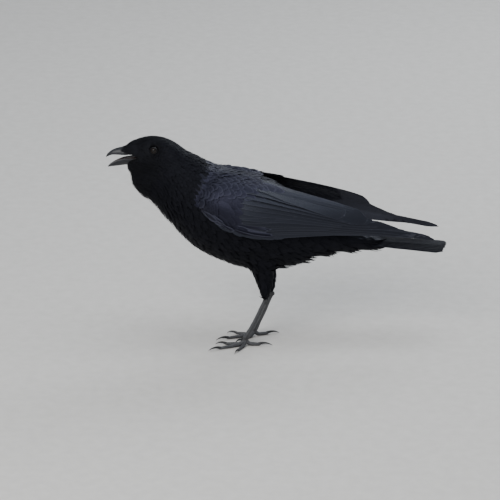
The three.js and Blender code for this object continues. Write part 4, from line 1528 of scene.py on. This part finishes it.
def make_scapulars(name, side):
    """Two rows of large rounded feathers from the shoulder down over the wing's upper half."""
    vanes = WingVanes(side, SEED + 30)
    for low, spacing, length, width, top, first, last in (
        (0.69, 9.2, 27, 14.5, 0.5, 0.03, 0.345), (0.79, 8.4, 25, 12.5, 0.9, 0.035, 0.335),
    ):
        at = first
        while at < last:
            vanes.row(
                at, low, low + 0.001, length, width, 3.0, top, turn=0.50 - 0.5 * at, gloss=0.65,
                rounding=0.27, rows=11, columns=9, tilt=0.06, camber=0.10,
            )
            at += spacing * vanes.rng.normal(1, 0.08) / WING_LENGTH
    # Long last scapulars reach back over the tertials.
    for k in range(5):
        vanes.row(
            0.27 + 0.025 * k, 0.80 + 0.03 * k, 0.801 + 0.03 * k, 38, 13, 3.0, 0.5 + 0.1 * k,
            turn=0.12, gloss=0.9, rounding=0.16, rows=11, columns=9, tilt=0.10,
        )
    vanes.piece(f"coat_scapular_{name}", glossy)


def make_mantle():
    """Small rounded feathers over the back and both shoulders, which bridge the folded wings."""
    names = ["neck", "trunk", "rump"]
    names += [f"wing_{part}_{side}" for side in SIDES for part in ("arm", "secondaries")]
    back = smooth_surface(names, 2.2, 9)

    def mantle(points):
        """Whether each point lies on the mantle, and how high on the wing it lies."""
        u, v, *_ = wing_place(points)
        front = -62 - 18 * (1 - smooth(214, 240, points[:, 2]))
        # Its front edge is uneven, as feathers of neck and back mingle there.
        front = front + 5 * np.sin(points[:, 0] * 0.9 + points[:, 1] * 0.7) * np.sin(points[:, 2] * 1.1)
        inside = (points[:, 1] > front) & (points[:, 1] < 22) & (points[:, 2] > 190)
        return inside & (v > 0.72) & (u < 0.35), v

    def spacing_at(points):
        inside, v = mantle(points)
        spacing = 3.3 + 2.2 * smooth(-70, 0, points[:, 1]) + 0.8 * (1 - smooth(0.76, 0.9, v))
        return np.where(inside, spacing, np.inf)

    roots, normals = back.nearest(scatter(back, spacing_at, SEED + 40))
    inside, _ = mantle(roots)
    roots, normals = roots[inside], normals[inside]
    spacing = spacing_at(roots)
    _, _, way = beside_spine(roots)
    down = np.array([0, 0, -1.0]) + normals * normals[:, 2:]
    rng = np.random.default_rng(SEED + 41)
    ways = unit(way + 0.35 * down + rng.normal(0, 0.05, way.shape))
    points, out = back.run(roots, ways, spacing * 4.0 * rng.normal(1, 0.05, len(roots)), 8)
    line = laid(points, out, np.full(len(roots), 1.8), 0.7 + 0.2 * rng.random(len(roots)))
    reach, angle, _ = beside_spine(roots)
    vanes = Vanes()
    # Their painted sheen fades out towards the front edge, where they are painted darker and without pale
    # rims.
    vanes.add(
        line, out, spacing * 0.95, on_map(np.stack([reach, angle], 1)), seed=SEED + 42, rounding=0.24,
        columns=5, camber=0.10, gloss=0.7 * smooth(-82, -38, roots[:, 1]),
    )
    vanes.piece("coat_mantle", glossy)


make_mantle()


def make_underwing(name, side):
    """Soft coverts over the wing's edges and its inner side."""
    wing = smooth_surface([f"wing_{part}_{name}" for part in ("arm", "secondaries")], 1.7, 10)

    def spacing_at(points):
        u, v, height, _ = wing_place(points)
        inside = (height < np.where(v < 0.08, -1.0, -3.2)) & (u > 0.01) & (u < 0.62)
        return np.where(inside & (v < 0.93) & ~((v > 0.7) & (u < 0.4)), 4.6, np.inf)

    roots, _ = wing.nearest(scatter(wing, spacing_at, SEED + 60))
    u, v, *_ = wing_place(roots)
    at = np.stack([u, v], 1)
    ahead, _ = wing_at(np.clip(u + 0.02, 0, 1), v)
    here, _ = wing_at(u, v)
    rng = np.random.default_rng(SEED + 61)
    ways = unit((ahead - here) * (side, 1, 1)) + rng.normal(0, 0.06, roots.shape)
    length = np.minimum(16 + 14 * u, (0.69 - u) * WING_LENGTH) * rng.normal(1, 0.06, len(roots))
    points, out = wing.run(roots, ways, length, 7)
    # None come round the edges to the outer side.
    _, v, height, outward = wing_place(points.reshape(-1, 3))
    facing = (out.reshape(-1, 3) * outward).sum(1)
    strays = ((height > -2.2) & (v > 0.06)) | (height > -0.8) | (facing > -0.4)
    keep = ~strays.reshape(len(roots), -1).any(1)
    points, out, at = points[keep], out[keep], at[keep]
    line = laid(points, out, np.full(len(at), 0.9), 0.25 + 0.2 * rng.random(len(at)))
    vanes = Vanes()
    vanes.add(line, out, 3.9, on_map(at), seed=SEED + 62, rounding=0.22, camber=0.1, gloss=0.2)
    vanes.piece(f"coat_underwing_{name}", quills)


def flight_feathers(name, side):
    """Secondaries, tertials and primaries, each laid like a roof tile over the one below it."""
    vanes = WingVanes(side, SEED + 50)
    t = np.linspace(0, 1, 26)
    ends = WING_ENDS[name]

    def add(start, end, low, high, half, depth, end_depth, **shape):
        u = mix(start, end, t)[None]
        reach = np.minimum(0.92 * half / chord_at(u), 0.5)
        centre = np.clip(mix(low, high, t[None] ** 0.9), reach, 1.0 - reach)
        # The long tips hang a little below the surface, and the left wing's inner ones stand higher.
        centre = centre - ends["hang"] * smooth(0.72, 1.0, u) / chord_at(u)
        bump = np.exp(-(((u - 0.84) / 0.07) ** 2)) * smooth(0.2, 0.7, high)
        centre = centre + ends["raised"] * bump * t[None] / chord_at(u)
        height = -mix(depth, end_depth, t[None]) - 1.9 * np.exp(-((t[None] / 0.14) ** 2))
        vanes.lay(u, centre, half, height, -0.075, columns=9, ragged=0.012, gloss=0.9, **shape)

    # Primaries, from the long outermost, which lies deepest, to the short inner ones over it.
    for k, tip in enumerate(PRIMARY_TIPS):
        rise = k / (len(PRIMARY_TIPS) - 1)
        add(
            0.24, tip + ends["primaries"] + vanes.rng.normal(0, 0.002), 0.03 + 0.24 * rise,
            0.16 + 0.52 * rise, 8.5 - 1.2 * (1 - rise), 2.0 - 0.2 * rise, 1.1 - 0.9 * rise,
            base=0.95, widest=0.3, taper=0.58, rounding=0.045, camber=0.05,
        )
    # Secondaries, then the broad tertials on top.
    for k, tip in enumerate(SECONDARY_TIPS):
        rise = k / (len(SECONDARY_TIPS) - 1)
        add(
            0.27, tip + ends["tertials"] * rise + vanes.rng.normal(0, 0.002), 0.16 + 0.68 * rise,
            0.33 + 0.57 * rise, 10.5 + 3 * rise, 2.1 - 0.9 * rise, 0.9 - 0.7 * rise,
            base=0.8, widest=0.35, taper=0.30 - 0.12 * rise, rounding=0.06, camber=0.06,
        )
    replaced = [f"wing_{part}_{name}" for part in ("secondaries", "primaries")]
    vanes.piece(f"flight_{name}", quills, "flight_feathers", replaced)


for name, side in SIDES.items():
    make_coverts(name, side)
    make_scapulars(name, side)
    make_underwing(name, side)
    flight_feathers(name, side)

# ------------------------------------------------------------------ tail


def make_tail():
    """Twelve tail feathers: the middle pair on top, each pair outside it lower and a little shorter."""
    vanes = Vanes()
    rng = np.random.default_rng(SEED + 70)
    t = np.linspace(0, 1, 26)
    for k in reversed(range(6)):
        for side in SIDES.values():
            out = (k + 0.45) / 5.5
            tip = TAIL["tip"] - 4.5 * out**2.1 + rng.normal(0, 0.4)
            x = side * mix(4.5 * out, TAIL["spread"] * out, t)
            arch = 2.6 * (x / TAIL["spread"]) ** 2
            z = mix(TAIL["root_z"], TAIL["tip_z"], t) - arch - TAIL["step"] * k
            # The left one of each pair lies on the right one.
            z += 0.25 if side > 0 else 0.0
            line = np.stack([x, mix(TAIL["root"], tip, t), z], 1)[None]
            normal = np.broadcast_to(unit(np.array([side * out * 0.22, 0.06, 1.0])), line.shape)
            place = np.array([[0.5 + side * (k + 0.5) / 13, 0.5 + rng.normal(0, 0.15)]])
            vanes.add(
                line, normal, TAIL["half"], np.clip(place, 0.02, 0.98), seed=80 + k, base=0.45,
                widest=0.4, taper=0.16, rounding=0.055, camber=0.06, columns=9, ragged=0.012,
                tilt=0.02 * side, gloss=0.8,
            )
    vanes.piece("tail_feathers", rectrices, "flight_feathers", ["tail"])


make_tail()

# ------------------------------------------------------------------ camera, light and floor

ELEVATION = math.radians(18)
CAMERA_AWAY = 5.0
FRAME_WIDTH = 0.670  # metres across the picture at the bird
TARGET = Vector(to_row((0, -2.7, 128.2)))
# Round area lights: place, width, power and colour.
LIGHTS = {
    "key": ((2.3, -1.2, 1.9), 1.8, 66, (1.0, 0.98, 0.95)),
    "top": ((0.2, 0.6, 2.8), 2.2, 34, (0.9, 0.95, 1.0)),
    "rim": ((-1.8, 1.0, 1.6), 1.2, 22, (0.9, 0.95, 1.0)),
}
FLOOR_HALF = 3.0


def make_camera():
    data = bpy.data.cameras.new("camera")
    data.sensor_width = 36
    data.lens = data.sensor_width * CAMERA_AWAY / FRAME_WIDTH
    camera = bpy.data.objects.new("camera", data)
    way = Vector((math.cos(ELEVATION), 0, math.sin(ELEVATION)))
    camera.location = TARGET + way * CAMERA_AWAY
    camera.rotation_euler = (-way).to_track_quat("-Z", "Y").to_euler()
    bpy.context.scene.collection.objects.link(camera)
    bpy.context.scene.camera = camera


def make_lights():
    for name, (place, width, power, colour) in LIGHTS.items():
        data = bpy.data.lights.new(name, "AREA")
        data.shape = "DISK"
        data.size = width
        data.energy = power
        data.color = colour
        light = bpy.data.objects.new(name, data)
        light.location = place
        light.rotation_euler = (TARGET - Vector(place)).to_track_quat("-Z", "Y").to_euler()
        bpy.context.scene.collection.objects.link(light)


def make_floor():
    corners = np.array([(-1, -1, 0), (1, -1, 0), (1, 1, 0), (-1, 1, 0)]) * FLOOR_HALF
    mesh = mesh_of("floor", corners, np.arange(4), np.array([4]))
    look = Look("floor", (0.62, 0.6, 0.57), 0.9)
    specks = [(0.2, (0.58, 0.56, 0.53)), (0.8, (0.66, 0.64, 0.61))]
    look.give("Base Color", look.ramp(look.noise(60, 5.0), specks))
    mesh.materials.append(look.material)
    add_object("floor", mesh)


def make_world():
    world = bpy.data.worlds.new("studio")
    world.use_nodes = True
    sky = world.node_tree.nodes["Background"]
    sky.inputs["Color"].default_value = (0.86, 0.92, 1.0, 1)
    sky.inputs["Strength"].default_value = 0.5
    bpy.context.scene.world = world


make_camera()
make_lights()
make_floor()
make_world()
